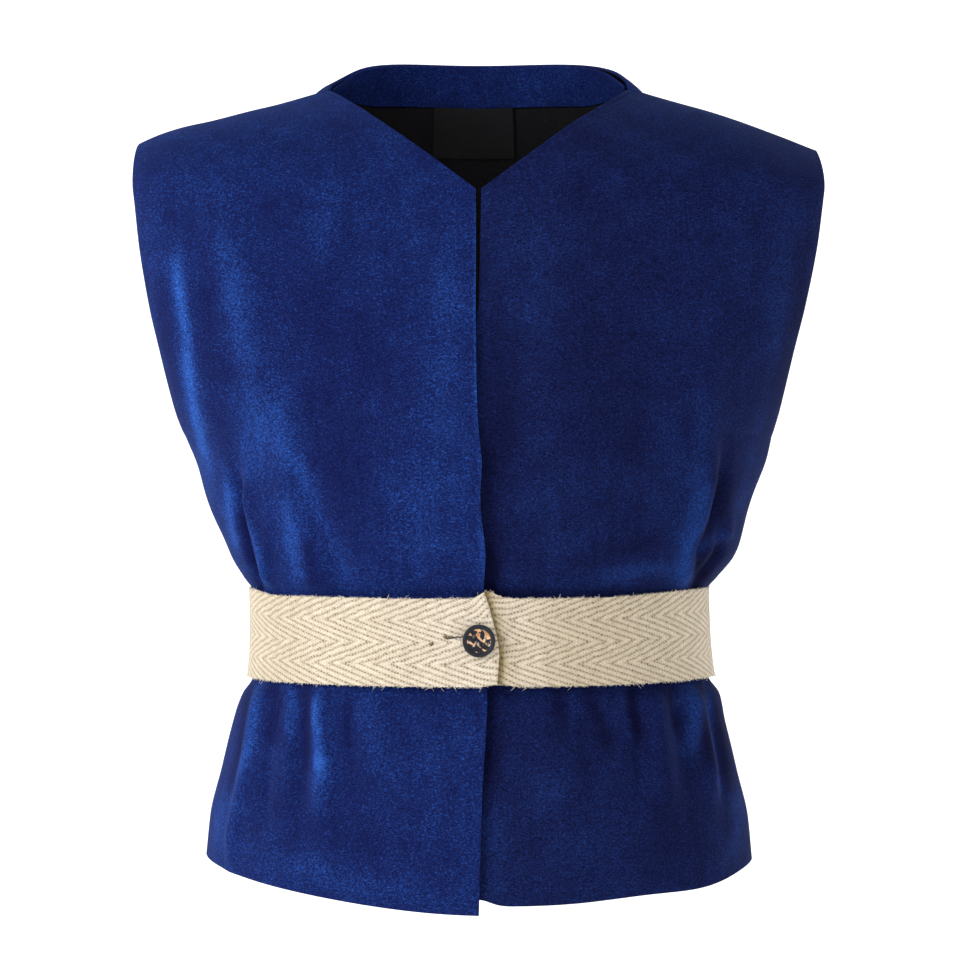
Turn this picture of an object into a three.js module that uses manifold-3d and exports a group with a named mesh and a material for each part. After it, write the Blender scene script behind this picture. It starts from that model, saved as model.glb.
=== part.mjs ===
// A child's sleeveless velvet waistcoat, filled out as if worn: two fronts, a back,
// a facing and lining inside the back, a bare label, a tape belt and its button.
// Millimetres, +Z up. The front faces -Y and the wearer's left is +X.
// The origin is at the base of the neck, level with the shoulder-neck points.

import * as THREE from 'three';
import { mergeVertices } from 'three/addons/utils/BufferGeometryUtils.js';
import Module from 'manifold-3d';

// Neck and shoulders
const NECK_HALF_WIDTH = 75;
const NECK_POINT_Y = 2;
const BACK_NECK_Y = 61;
const BACK_NECK_RISE = 20;
const BACK_NECK_FALL = 1.8;
const SHOULDER_TIP = { x: 168, y: 4, z: -29.5 };
const SHOULDER_BOW = 2.5;
const NECK_SHARE = 0.45;

// Cloth
const FRONT_WALL = 2;
const BACK_WALL = 1.6;
const THIN_WALL = 1;
const LABEL_WALL = 0.5;
const GAP = 0.3;
const INSIDE_GAP = 0.6;

// Belt and button
const BELT_WALL = 2;
const BELT_TOP_Z = -251;
const BELT_LOW_Z = -293;
const BELT_MID_Z = (BELT_TOP_Z + BELT_LOW_Z) / 2;
const BUTTON_DIAMETER = 15.5;
const BUTTON_THICK = 3;
const BUTTON_RIM = 1.6;
const BUTTON_DISH = 0.8;
const BUTTON_Z = -270.9;
const BUTTON_HOLE = { diameter: 1.9, x: -1.6, z: 1.5 };

// Facing and label inside the back neck
const FACING_LOW = 0.72;
const LABEL = { left: -25, right: 19, top: 0.725, low: 0.4 };

// Fineness of the walls
const FRONT_COLUMNS = 24;
const BACK_COLUMNS = 36;
const YOKE_ROWS = 6;

// Level sections from the hem up to the underarm. The front and back meet at the side seam.
const BODY_ROWS = [
  { front_z: -400, side_z: -382, back_z: -386, half_width: 136, front_y: -98, back_y: 90 },
  { front_z: -374, side_z: -362, back_z: -364, half_width: 134.5, front_y: -97.5, back_y: 89 },
  { front_z: -346, side_z: -338, back_z: -339, half_width: 128.5, front_y: -95, back_y: 86 },
  { front_z: -320, side_z: -316, back_z: -316, half_width: 122.5, front_y: -91, back_y: 81 },
  { front_z: -303, side_z: -302, back_z: -302, half_width: 118.5, front_y: -87.5, back_y: 76 },
  { front_z: -293, side_z: -293, back_z: -293, half_width: 112.8, front_y: -83.8, back_y: 72.3 },
  { front_z: -272, side_z: -272, back_z: -272, half_width: 111.5, front_y: -83.5, back_y: 72 },
  { front_z: -251, side_z: -251, back_z: -251, half_width: 111.8, front_y: -83.8, back_y: 72.3 },
  { front_z: -243, side_z: -243, back_z: -243, half_width: 117.4, front_y: -89, back_y: 79 },
  { front_z: -233, side_z: -233, back_z: -233, half_width: 124.5, front_y: -93.5, back_y: 83.5 },
  { front_z: -220, side_z: -219, back_z: -219, half_width: 130, front_y: -97, back_y: 87 },
  { front_z: -195, side_z: -194, back_z: -194, half_width: 138.6, front_y: -99, back_y: 90 },
  { front_z: -174, side_z: -174, back_z: -174, half_width: 145.3, front_y: -100, back_y: 91.8 },
];
const SIDE_SEAM_Y = 4;

// Sections from the underarm up to the bottom of the neck opening. They end on the armhole.
const FRONT_CHEST_ROWS = [
  { in_y: -99.9, in_z: -167, out_x: 146.4, out_y: -5, out_z: -170, out_turn: 88 },
  { in_y: -99.6, in_z: -157, out_x: 148.2, out_y: -15, out_z: -162.5, out_turn: 85 },
  { in_y: -99, in_z: -145, out_x: 150.6, out_y: -26, out_z: -150, out_turn: 80 },
  { in_y: -98, in_z: -130, out_x: 153.8, out_y: -37, out_z: -133, out_turn: 75 },
  { in_y: -95.5, in_z: -108, out_x: 158.6, out_y: -46, out_z: -110, out_turn: 70 },
  { in_y: -90.5, in_z: -83, out_x: 163.3, out_y: -48, out_z: -84, out_turn: 66 },
  { in_y: -82, in_z: -57, out_x: 167.4, out_y: -42, out_z: -55, out_turn: 64 },
];
const BACK_CHEST_ROWS = [
  { in_y: 92.2, in_z: -167, out_x: 146.4, out_y: 13, out_z: -170, out_turn: 88 },
  { in_y: 92.5, in_z: -157, out_x: 148.2, out_y: 22, out_z: -162.5, out_turn: 85 },
  { in_y: 92.8, in_z: -145, out_x: 150.6, out_y: 32, out_z: -150, out_turn: 80 },
  { in_y: 93, in_z: -130, out_x: 153.8, out_y: 41, out_z: -133, out_turn: 75 },
  { in_y: 92.5, in_z: -108, out_x: 158.6, out_y: 47, out_z: -110, out_turn: 70 },
  { in_y: 90, in_z: -83, out_x: 163.3, out_y: 48, out_z: -84, out_turn: 66 },
  { in_y: 86, in_z: -57, out_x: 167.4, out_y: 42, out_z: -55, out_turn: 64 },
];

// How the cloth leaves the last chest section and reaches the shoulder seam or neck edge.
// lean is its run along the section. On the shoulder the back's end_z is worked out from the
// front's slope, so that both panels meet in one plane at the seam.
const FRONT_YOKE = [
  { at: 0, start_reach: 57, lean: 75, end_x: 45, end_y: 134, end_z: 34 },
  { at: 0.3, start_reach: 52, lean: 45, end_x: 26, end_y: 112, end_z: 14 },
  { at: 0.6, start_reach: 44, lean: 18, end_x: 10, end_y: 82, end_z: 4 },
  { at: 1, start_reach: 30, lean: 0, end_x: 0, end_y: 46, end_z: 0 },
];
const BACK_YOKE = [
  { at: 0, start_reach: 76, lean: 0, end_x: 0, end_y: -28, end_z: 72 },
  { at: 0.25, start_reach: 74, lean: -3, end_x: -22, end_y: -36, end_z: 58 },
  { at: NECK_SHARE, start_reach: 66, lean: -4, end_x: -52, end_y: -58, end_z: 0 },
  { at: 0.7, start_reach: 50, lean: 0, end_x: -12, end_y: -76, end_z: 0 },
  { at: 1, start_reach: 30, lean: 0, end_x: 0, end_y: -46, end_z: 0 },
];

// Centre edges of the two fronts. past is how far the edge lies from the centre line on its
// own side, so an edge that crosses the centre has a negative value.
const RIGHT_EDGE = [
  { z: -400, past: 0 },
  { z: -345, past: -1.5 },
  { z: -295, past: -4 },
  { z: -225, past: -1 },
  { z: -120, past: 0.5 },
  { z: -57, past: 1.4 },
];
const LEFT_EDGE = [
  { z: -400, past: 1 },
  { z: -360, past: -6 },
  { z: -300, past: -11 },
  { z: -200, past: -10 },
  { z: -130, past: -2 },
  { z: -110, past: 0.8 },
  { z: -57, past: 1.2 },
];
const LEFT_HEM_RISE = 4;
const LEFT_CORNER_RISE = 3;
const CORNER_SIZE = 7;
const HEM_Z = -400;
const LAST_CHEST_Z = -57;

// How deep the under front is tucked behind the top one, by height
const TUCK = [
  { z: -400, depth: 3 },
  { z: -340, depth: 3.4 },
  { z: -150, depth: 3.4 },
  { z: -112, depth: 2.8 },
  { z: -62, depth: 0 },
];
const TUCK_FULL_X = 9;
const TUCK_END_X = 52;

// The largest folds. x is measured from the centre line, z down from the shoulders.
// A positive depth stands out as a ridge and a negative one is a trough.
const RIGHT_FOLDS = [
  { top_x: 122, top_z: -70, low_x: 90, low_z: -190, width: 13, depth: 1.8 },
  { top_x: 90, top_z: -185, low_x: 82, low_z: -240, width: 9, depth: 1.6 },
  { top_x: 86, top_z: -196, low_x: 62, low_z: -246, width: 8, depth: -2.2 },
  { top_x: 73, top_z: -62, low_x: 72, low_z: -90, width: 10, depth: 1.2 },
  { top_x: 120, top_z: -203, low_x: 110, low_z: -244, width: 6, depth: -4.5 },
  { top_x: 109, top_z: -212, low_x: 101, low_z: -246, width: 6, depth: 2.6 },
  { top_x: 107, top_z: -300, low_x: 119, low_z: -368, width: 6, depth: 3 },
  { top_x: 98, top_z: -298, low_x: 103, low_z: -345, width: 6, depth: -2.6 },
  { top_x: 85, top_z: -298, low_x: 86, low_z: -340, width: 6, depth: -3 },
  { top_x: 76, top_z: -300, low_x: 74, low_z: -344, width: 6.5, depth: 3.2 },
  { top_x: 52, top_z: -302, low_x: 50, low_z: -332, width: 9, depth: 1.4 },
];
const LEFT_FOLDS = [
  { top_x: 110, top_z: -150, low_x: 104, low_z: -212, width: 11, depth: 1.4 },
  { top_x: 102, top_z: -208, low_x: 98, low_z: -246, width: 6, depth: 2.6 },
  { top_x: 112, top_z: -226, low_x: 108, low_z: -246, width: 6.5, depth: -5 },
  { top_x: 121, top_z: -214, low_x: 119, low_z: -240, width: 6, depth: 2.4 },
  { top_x: 44, top_z: -299, low_x: 50, low_z: -326, width: 7, depth: -2 },
  { top_x: 60, top_z: -299, low_x: 66, low_z: -326, width: 7, depth: -2.2 },
  { top_x: 73, top_z: -298, low_x: 77, low_z: -334, width: 6.5, depth: -3.4 },
  { top_x: 84, top_z: -300, low_x: 89, low_z: -340, width: 7, depth: 2.4 },
  { top_x: 94, top_z: -298, low_x: 99, low_z: -328, width: 6, depth: -3 },
  { top_x: 105, top_z: -300, low_x: 112, low_z: -336, width: 6, depth: 2.8 },
  { top_x: 112, top_z: -298, low_x: 118, low_z: -334, width: 5, depth: -2.4 },
];
const BACK_FOLDS = [
  { top_x: -112, top_z: -196, low_x: -96, low_z: -244, width: 9, depth: 3 },
  { top_x: -78, top_z: -210, low_x: -74, low_z: -246, width: 9, depth: -3 },
  { top_x: -46, top_z: -178, low_x: -52, low_z: -244, width: 11, depth: 2.4 },
  { top_x: -8, top_z: -206, low_x: -12, low_z: -246, width: 9, depth: -2.4 },
  { top_x: 26, top_z: -190, low_x: 30, low_z: -245, width: 11, depth: 2.6 },
  { top_x: 62, top_z: -212, low_x: 58, low_z: -246, width: 8, depth: -3.2 },
  { top_x: 104, top_z: -188, low_x: 88, low_z: -244, width: 10, depth: 3 },
  { top_x: -98, top_z: -299, low_x: -106, low_z: -344, width: 8, depth: 3 },
  { top_x: -70, top_z: -299, low_x: -74, low_z: -336, width: 8, depth: -3 },
  { top_x: -36, top_z: -300, low_x: -38, low_z: -352, width: 9, depth: 2.8 },
  { top_x: -2, top_z: -299, low_x: 0, low_z: -332, width: 8, depth: -2.4 },
  { top_x: 38, top_z: -300, low_x: 42, low_z: -346, width: 9, depth: 3 },
  { top_x: 68, top_z: -299, low_x: 73, low_z: -338, width: 8, depth: -2.8 },
  { top_x: 96, top_z: -300, low_x: 104, low_z: -350, width: 8, depth: 3 },
];
// Folds fade out beyond their ends, at the side seam and under the belt
const FOLD_END = 14;
const SEAM_HOLD = 9;
const BELT_HOLD = { near: 22, far: 34, trough: 0.5 };
const STEEPEST_SLANT = 0.25;

// Small helpers
const clamp = (value, low, high) => Math.min(high, Math.max(low, value));
const mix = (a, b, t) => a + (b - a) * t;
const radians = (degrees) => (degrees * Math.PI) / 180;

function ease(value, low, high) {
  const t = clamp((value - low) / (high - low), 0, 1);
  return t * t * (3 - 2 * t);
}

// Smooth curve through one column of a table that never overshoots its rows
function column(rows, key, place, at) {
  const last = rows.length - 1;
  const where = clamp(at, rows[0][place], rows[last][place]);
  let row = 0;
  while (row < last - 1 && where > rows[row + 1][place]) {
    row += 1;
  }
  const width = (i) => rows[i + 1][place] - rows[i][place];
  const steepness = (i) => (rows[i + 1][key] - rows[i][key]) / width(i);
  const slope = (i) => {
    if (i === 0) {
      return steepness(0);
    }
    if (i === last) {
      return steepness(last - 1);
    }
    const before = steepness(i - 1);
    const after = steepness(i);
    if (before * after <= 0) {
      return 0;
    }
    const weight_before = 2 * width(i) + width(i - 1);
    const weight_after = width(i) + 2 * width(i - 1);
    const weights = weight_before + weight_after;
    return weights / (weight_before / before + weight_after / after);
  };
  const t = (where - rows[row][place]) / width(row);
  const start = rows[row][key] * (1 + 2 * t) * (1 - t) ** 2;
  const end = rows[row + 1][key] * t * t * (3 - 2 * t);
  const leave = slope(row) * width(row) * t * (1 - t) ** 2;
  const arrive = slope(row + 1) * width(row) * t * t * (t - 1);
  return start + end + leave + arrive;
}

// The unfolded surfaces of one half. u runs from the centre to the side, v from the hem (0)
// to the last chest section (1) and on to the shoulder seam and neck edge (2).
function panelRows(facing) {
  const rows = BODY_ROWS.map((row) => ({
    in_y: facing < 0 ? row.front_y : row.back_y,
    in_z: facing < 0 ? row.front_z : row.back_z,
    out_x: row.half_width,
    out_y: SIDE_SEAM_Y,
    out_z: row.side_z,
    out_turn: 90,
  }));
  rows.push(...(facing < 0 ? FRONT_CHEST_ROWS : BACK_CHEST_ROWS));
  let height = 0;
  rows.forEach((row, i) => {
    if (i > 0) {
      height += row.in_z - rows[i - 1].in_z;
    }
    row.height = height;
  });
  rows.forEach((row) => {
    row.v = row.height / height;
  });
  return rows;
}

const FRONT = { facing: -1, rows: panelRows(-1), yoke: FRONT_YOKE };
const BACK = { facing: 1, rows: panelRows(1), yoke: BACK_YOKE };

const IN_REACH = 0.6;
const OUT_REACH = 0.56;
const STEP = 0.002;
const SHOULDER_STEP = 0.01;

function sectionPoint(panel, u, v, past) {
  const get = (key) => column(panel.rows, key, 'v', v);
  const start = new THREE.Vector3(past(get('in_z')), get('in_y'), get('in_z'));
  const end = new THREE.Vector3(get('out_x'), get('out_y'), get('out_z'));
  const turn = radians(get('out_turn'));
  const out_reach = (OUT_REACH * Math.abs(end.y - start.y)) / Math.sin(turn);
  const leave = start.clone();
  leave.x += IN_REACH * (end.x - start.x);
  const arrive = end.clone();
  arrive.x -= out_reach * Math.cos(turn);
  arrive.y += panel.facing * out_reach * Math.sin(turn);
  return new THREE.CubicBezierCurve3(start, leave, arrive, end).getPoint(u);
}

function shoulderPoint(w) {
  const bow = SHOULDER_BOW * Math.sin(Math.PI * w) * w;
  return new THREE.Vector3(
    mix(NECK_HALF_WIDTH, SHOULDER_TIP.x, w),
    mix(NECK_POINT_Y, SHOULDER_TIP.y, w),
    SHOULDER_TIP.z * w + bow,
  );
}

function backNeckPoint(share) {
  const angle = radians(90 * share);
  return new THREE.Vector3(
    NECK_HALF_WIDTH * Math.sin(angle),
    NECK_POINT_Y + (BACK_NECK_Y - NECK_POINT_Y) * Math.cos(angle),
    BACK_NECK_RISE * (1 - (1 - Math.cos(angle)) ** BACK_NECK_FALL),
  );
}

function yokeEnd(panel, u) {
  const get = (key) => column(panel.yoke, key, 'at', u);
  const end = new THREE.Vector3(get('end_x'), get('end_y'), get('end_z'));
  if (panel.facing > 0 && u >= NECK_SHARE) {
    const w = (u - NECK_SHARE) / (1 - NECK_SHARE);
    const before = shoulderPoint(w - SHOULDER_STEP);
    const along = shoulderPoint(Math.min(1, w + SHOULDER_STEP)).sub(before);
    const normal = along.cross(yokeEnd(FRONT, w));
    end.z = -(normal.x * end.x + normal.y * end.y) / normal.z;
  }
  return end;
}

function yokeTop(panel, u) {
  if (panel.facing < 0) {
    return shoulderPoint(u);
  }
  if (u < NECK_SHARE) {
    return backNeckPoint(u / NECK_SHARE);
  }
  return shoulderPoint((u - NECK_SHARE) / (1 - NECK_SHARE));
}

function yokePoint(panel, u, s, past) {
  const get = (key) => column(panel.yoke, key, 'at', u);
  const base = sectionPoint(panel, u, 1, past);
  const below = sectionPoint(panel, u, 1 - STEP, past);
  const beside = sectionPoint(panel, Math.min(1, u + STEP), 1, past);
  const before = sectionPoint(panel, Math.max(0, u - STEP), 1, past);
  const rise = base.clone().sub(below);
  rise.multiplyScalar(get('start_reach') / rise.z);
  const along = beside.sub(before).normalize();
  const start = rise.addScaledVector(along, get('lean'));
  const point = base.multiplyScalar((1 + 2 * s) * (1 - s) ** 2);
  point.addScaledVector(yokeTop(panel, u), s * s * (3 - 2 * s));
  point.addScaledVector(start, s * (1 - s) ** 2);
  point.addScaledVector(yokeEnd(panel, u), s * s * (s - 1));
  return point;
}

const noPast = () => 0;

function surface(panel, u, v, past = noPast) {
  if (v <= 1) {
    return sectionPoint(panel, u, v, past);
  }
  return yokePoint(panel, u, v - 1, past);
}

// Outward direction of a surface given as a function of u and v
function normalOf(point, u, v, high_u, facing) {
  const u_0 = Math.max(0, u - STEP);
  const u_1 = Math.min(high_u, u + STEP);
  const v_0 = Math.max(0, v - STEP);
  const v_1 = Math.min(2, v + STEP);
  const across = point(u_1, v).sub(point(u_0, v));
  const up = point(u, v_1).sub(point(u, v_0));
  return across.cross(up).normalize().multiplyScalar(-facing);
}

// Sum of the folds at a place. slant is the share of the run along the section that is
// seen from the front, so that a fold keeps its width where the cloth turns away.
function foldDepth(folds, x, z, slant) {
  let depth = 0;
  for (const fold of folds) {
    const t = clamp((fold.top_z - z) / (fold.top_z - fold.low_z), 0, 1);
    const across = (x - mix(fold.top_x, fold.low_x, t)) / slant / fold.width;
    const past_end = Math.max(0, z - fold.top_z, fold.low_z - z) / FOLD_END;
    depth += fold.depth * Math.exp(-across * across - past_end * past_end);
  }
  const free = ease(Math.abs(z - BELT_MID_Z), BELT_HOLD.near, BELT_HOLD.far);
  return depth * (depth > 0 ? free : Math.max(BELT_HOLD.trough, free));
}

// The folded cloth of one half. side is +1 for the wearer's left and -1 for the right.
function clothPoint(half, u, v) {
  const bare = (a, b) => surface(half.panel, a, b, half.past);
  const point = bare(u, v);
  const ahead = bare(Math.min(1, u + STEP), v).sub(bare(Math.max(0, u - STEP), v));
  const run = ahead.length() / (Math.min(1, u + STEP) - Math.max(0, u - STEP));
  const slant = Math.max(STEEPEST_SLANT, ahead.normalize().x);
  const held = ease((1 - u) * run, 0, SEAM_HOLD);
  const x = half.panel.facing > 0 ? half.side * point.x : point.x;
  const depth = foldDepth(half.folds, x, point.z, slant) * held;
  const normal = normalOf(bare, u, v, 1, half.panel.facing);
  point.addScaledVector(normal, depth);
  if (half.tucked) {
    const share = 1 - ease(point.x, TUCK_FULL_X, TUCK_END_X);
    point.y += share * column(TUCK, 'depth', 'z', point.z);
  }
  if (half.corner) {
    const from_corner = Math.hypot(u * run, v * (LAST_CHEST_Z - HEM_Z)) / CORNER_SIZE;
    point.z += half.corner * Math.exp(-from_corner * from_corner);
  }
  return point;
}

// One place on the cloth with its outward direction, held back from the seams
function clothPlace(half, u, v) {
  const point = (a, b) => clothPoint(half, a, b);
  const edge_u = 1 - STEP;
  const run_u = point(1, v).distanceTo(point(edge_u, v)) / STEP;
  const run_v = point(u, 2).distanceTo(point(u, 2 - STEP)) / STEP;
  const place_u = Math.min(u, 1 - GAP / 2 / run_u);
  const place_v = Math.min(v, 2 - GAP / 2 / run_v);
  const at = point(place_u, place_v);
  const out = normalOf(point, place_u, place_v, 1, half.panel.facing);
  at.x *= half.side;
  out.x *= half.side;
  return { at, out };
}

const past = (rows) => (z) => column(rows, 'past', 'z', z);
const raised = (rows) => rows.map((row, i) => (i > 0 ? row : { ...row, in_z: row.in_z + LEFT_HEM_RISE }));

const RIGHT_FRONT = { panel: FRONT, side: -1, folds: RIGHT_FOLDS, past: past(RIGHT_EDGE) };
const LEFT_FRONT = {
  panel: { ...FRONT, rows: raised(FRONT.rows) },
  side: 1,
  folds: LEFT_FOLDS,
  past: past(LEFT_EDGE),
  tucked: true,
  corner: LEFT_CORNER_RISE,
};
const BACK_RIGHT = { panel: BACK, side: -1, folds: BACK_FOLDS, past: noPast };
const BACK_LEFT = { panel: BACK, side: 1, folds: BACK_FOLDS, past: noPast };

// A closed wall through a grid of places, as thick as given and moved out by an offset
function wallGeometry(places, thick, offset, turned) {
  const rows = places[0].length;
  const columns = places.length;
  const positions = [];
  const index = [];
  for (const lift of [offset + thick / 2, offset - thick / 2]) {
    for (const line of places) {
      for (const { at, out } of line) {
        const p = at.clone().addScaledVector(out, lift);
        positions.push(p.x, p.y, p.z);
      }
    }
  }
  const inner = columns * rows;
  const face = (a, b, c) => index.push(...(turned ? [a, c, b] : [a, b, c]));
  const quad = (a, b, c, d) => {
    face(a, b, c);
    face(a, c, d);
  };
  for (let i = 0; i < columns - 1; i += 1) {
    for (let j = 0; j < rows - 1; j += 1) {
      const a = i * rows + j;
      const b = a + rows;
      quad(a, b, b + 1, a + 1);
      quad(inner + a, inner + a + 1, inner + b + 1, inner + b);
    }
    const low = i * rows;
    const high = low + rows - 1;
    quad(low, inner + low, inner + low + rows, low + rows);
    quad(high, high + rows, inner + high + rows, inner + high);
  }
  const last = (columns - 1) * rows;
  for (let j = 0; j < rows - 1; j += 1) {
    quad(j, j + 1, inner + j + 1, inner + j);
    quad(last + j, inner + last + j, inner + last + j + 1, last + j + 1);
  }
  const geometry = new THREE.BufferGeometry();
  geometry.setAttribute('position', new THREE.Float32BufferAttribute(positions, 3));
  geometry.setIndex(index);
  geometry.computeVertexNormals();
  return geometry;
}

// Heights of the grid rows: each section, one more row in each wide space, and the yoke
const WIDE_SPACE = 25.5;

function gridHeights(panel) {
  const heights = [];
  panel.rows.forEach((row, i) => {
    if (i > 0 && row.height - panel.rows[i - 1].height > WIDE_SPACE) {
      heights.push((row.v + panel.rows[i - 1].v) / 2);
    }
    heights.push(row.v);
  });
  for (let j = 1; j <= YOKE_ROWS; j += 1) {
    heights.push(1 + j / YOKE_ROWS);
  }
  return heights;
}

function gridOf(count, heights, place) {
  const grid = [];
  for (let i = 0; i <= count; i += 1) {
    grid.push(heights.map((v) => place(i / count, v)));
  }
  return grid;
}

function frontGeometry(half) {
  const grid = gridOf(FRONT_COLUMNS, gridHeights(half.panel), (u, v) => clothPlace(half, u, v));
  return wallGeometry(grid, FRONT_WALL, 0, half.side < 0);
}

// Back pieces run from the wearer's right side (-1) to the left (+1)
function backPlace(across, v) {
  return clothPlace(across < 0 ? BACK_RIGHT : BACK_LEFT, Math.abs(across), v);
}

// Columns that put one exactly on each shoulder-neck point
function backAcross(share) {
  const half = BACK_COLUMNS / 2;
  const neck_columns = Math.round(half * NECK_SHARE);
  const signed = (share * 2 - 1) * half;
  const n = Math.abs(signed);
  const beyond = (n - neck_columns) / (half - neck_columns);
  const u = n < neck_columns ? (n / neck_columns) * NECK_SHARE : mix(NECK_SHARE, 1, beyond);
  return Math.sign(signed) * u;
}

function backGeometry() {
  const place = (share, v) => backPlace(backAcross(share), v);
  return wallGeometry(gridOf(BACK_COLUMNS, gridHeights(BACK), place), BACK_WALL, 0, true);
}

const INSIDE_OFFSET = -(BACK_WALL / 2 + INSIDE_GAP + THIN_WALL / 2);
const LABEL_OFFSET = INSIDE_OFFSET - (THIN_WALL / 2 + INSIDE_GAP + LABEL_WALL / 2);

function heightAt(panel, z) {
  const low = panel.rows[0].in_z;
  return (z - low) / (LAST_CHEST_Z - low);
}

// Lower edge of the facing, which narrows towards the shoulder-neck points
const FACING_END_LOW = 0.9;
const FACING_NARROWS = 0.2;

function facingLow(u) {
  return mix(FACING_LOW, FACING_END_LOW, ease(u, FACING_NARROWS, NECK_SHARE));
}

// The lining hangs loose inside the gathers, so it is smooth and stands off the back there
const LINING_LOOSE = [
  { z: -386, loose: 0 },
  { z: -352, loose: 3.6 },
  { z: -300, loose: 3.8 },
  { z: -290, loose: 2 },
  { z: -254, loose: 2 },
  { z: -244, loose: 3.8 },
  { z: -196, loose: 3.4 },
  { z: -150, loose: 0.2 },
  { z: -57, loose: 0.3 },
  { z: -20, loose: 0.6 },
];
const LINING_COLUMNS = 26;
const LINING_ROWS = [
  -380, -358, -339, -316, -302, -293, -251, -243, -233, -219, -194, -174, -145, -100, -57,
];
const LINING_YOKE = [0.25, 0.5, 0.75, 1];
const LINING_SIDE = 0.97;
const LINING_SHOULDER = 0.97;
const LINING_HOLD = 0.12;
const LINING_PAST_FACING = { from: 0.44, to: 0.56 };
const FACING_COLUMNS = 18;
const FACING_ROWS = [0, 0.5, 1];
const FACING_END = 0.92;
const FACING_SEAM = 0.006;
const FACING_SEAM_GROWTH = 5;
const FACING_LOOSE = 1.1;
const FACING_LOOSENS = { from: 0.26, to: 0.36 };

const facingLoosens = (u) => ease(u, FACING_LOOSENS.from, FACING_LOOSENS.to);

function liningPlace(across, v) {
  const half = { ...(across < 0 ? BACK_RIGHT : BACK_LEFT), folds: [] };
  const place = clothPlace(half, Math.abs(across), v);
  const hold = ease(1 - Math.abs(across), 0, LINING_HOLD);
  place.at.addScaledVector(place.out, -hold * column(LINING_LOOSE, 'loose', 'z', place.at.z));
  return place;
}

function liningGeometry() {
  const end = LINING_PAST_FACING;
  const seam = (u) => FACING_SEAM * (1 + FACING_SEAM_GROWTH * facingLoosens(u));
  const top = (u) => mix(facingLow(u) - seam(u), LINING_SHOULDER, ease(u, end.from, end.to));
  const heights = LINING_ROWS.map((z) => heightAt(BACK, z));
  heights.push(...LINING_YOKE.map((share) => 1 + share));
  const place = (share, v) => {
    const across = (share * 2 - 1) * LINING_SIDE;
    const height = v <= 1 ? v : 1 + (v - 1) * top(Math.abs(across));
    return liningPlace(across, height);
  };
  return wallGeometry(gridOf(LINING_COLUMNS, heights, place), THIN_WALL, INSIDE_OFFSET, true);
}

function facingGeometry() {
  const place = (share, v) => {
    const across = (share * 2 - 1) * NECK_SHARE * FACING_END;
    const on_back = backPlace(across, 1 + mix(facingLow(Math.abs(across)), 1, v));
    on_back.at.addScaledVector(on_back.out, -FACING_LOOSE * facingLoosens(Math.abs(across)));
    return on_back;
  };
  return wallGeometry(gridOf(FACING_COLUMNS, FACING_ROWS, place), THIN_WALL, INSIDE_OFFSET, true);
}

const LABEL_COLUMNS = 6;

function labelGeometry() {
  const run = clothPoint(BACK_LEFT, STEP, 1 + (LABEL.low + LABEL.top) / 2).x / STEP;
  const place = (share, v) => liningPlace(mix(LABEL.left, LABEL.right, share) / run, v);
  const heights = [1 + LABEL.low, 1 + (LABEL.low + LABEL.top) / 2, 1 + LABEL.top];
  return wallGeometry(gridOf(LABEL_COLUMNS, heights, place), LABEL_WALL, LABEL_OFFSET, true);
}

// The belt runs once round the waist: its start lies under its own end at the front.
// A turn of 4 is the whole way round, with the centre front at 0.
const BELT_COLUMNS = 76;
const BELT_START = -0.13;
const BELT_END = { top: 0.027, middle: 0.043, low: 0.046 };
const BELT_STEP_FROM = 3.66;
const BELT_STEP_TO = 3.84;
const WALL_CHANGE = 0.1;

function beltPlace(turn, z) {
  const quarter = Math.floor(turn);
  const onto = turn - quarter;
  const side = quarter === 2 || quarter === 3 || quarter === -1 ? -1 : 1;
  const panel = quarter === 1 || quarter === 2 ? BACK : FRONT;
  const u = quarter === 0 || quarter === 2 || quarter === 4 ? onto : 1 - onto;
  const v = heightAt(panel, z);
  const bare = (a, b) => surface(panel, a, b);
  const at = bare(u, v);
  const out = normalOf(bare, u, v, 1, panel.facing);
  const wall = panel === FRONT ? FRONT_WALL : mix(FRONT_WALL, BACK_WALL, ease(1 - u, 0, WALL_CHANGE));
  const level = ease(turn, BELT_STEP_FROM, BELT_STEP_TO);
  at.addScaledVector(out, wall / 2 + GAP + BELT_WALL / 2 + level * (BELT_WALL + GAP));
  at.x *= side;
  out.x *= side;
  return { at, out };
}

function beltGeometry() {
  const grid = [];
  for (let i = 0; i <= BELT_COLUMNS; i += 1) {
    const share = i / BELT_COLUMNS;
    grid.push([
      beltPlace(mix(BELT_START, 4 + BELT_END.low, share), BELT_LOW_Z),
      beltPlace(mix(BELT_START, 4 + BELT_END.middle, share), BELT_MID_Z),
      beltPlace(mix(BELT_START, 4 + BELT_END.top, share), BELT_TOP_Z),
    ]);
  }
  return wallGeometry(grid, BELT_WALL, 0, false);
}

// Solids joined and cut as closed meshes
const wasm = await Module();
wasm.setup();
const SAME_PLACE = 0.0001;

function toSolid(geometry) {
  const bare = geometry.clone();
  bare.deleteAttribute('normal');
  bare.deleteAttribute('uv');
  const merged = mergeVertices(bare, SAME_PLACE);
  return new wasm.Manifold(new wasm.Mesh({
    numProp: 3,
    vertProperties: new Float32Array(merged.attributes.position.array),
    triVerts: new Uint32Array(merged.index.array),
  }));
}

function fromSolid(solid) {
  const mesh = solid.getMesh();
  const geometry = new THREE.BufferGeometry();
  geometry.setAttribute('position', new THREE.BufferAttribute(mesh.vertProperties, 3));
  geometry.setIndex(new THREE.BufferAttribute(mesh.triVerts, 1));
  return geometry;
}

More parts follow.
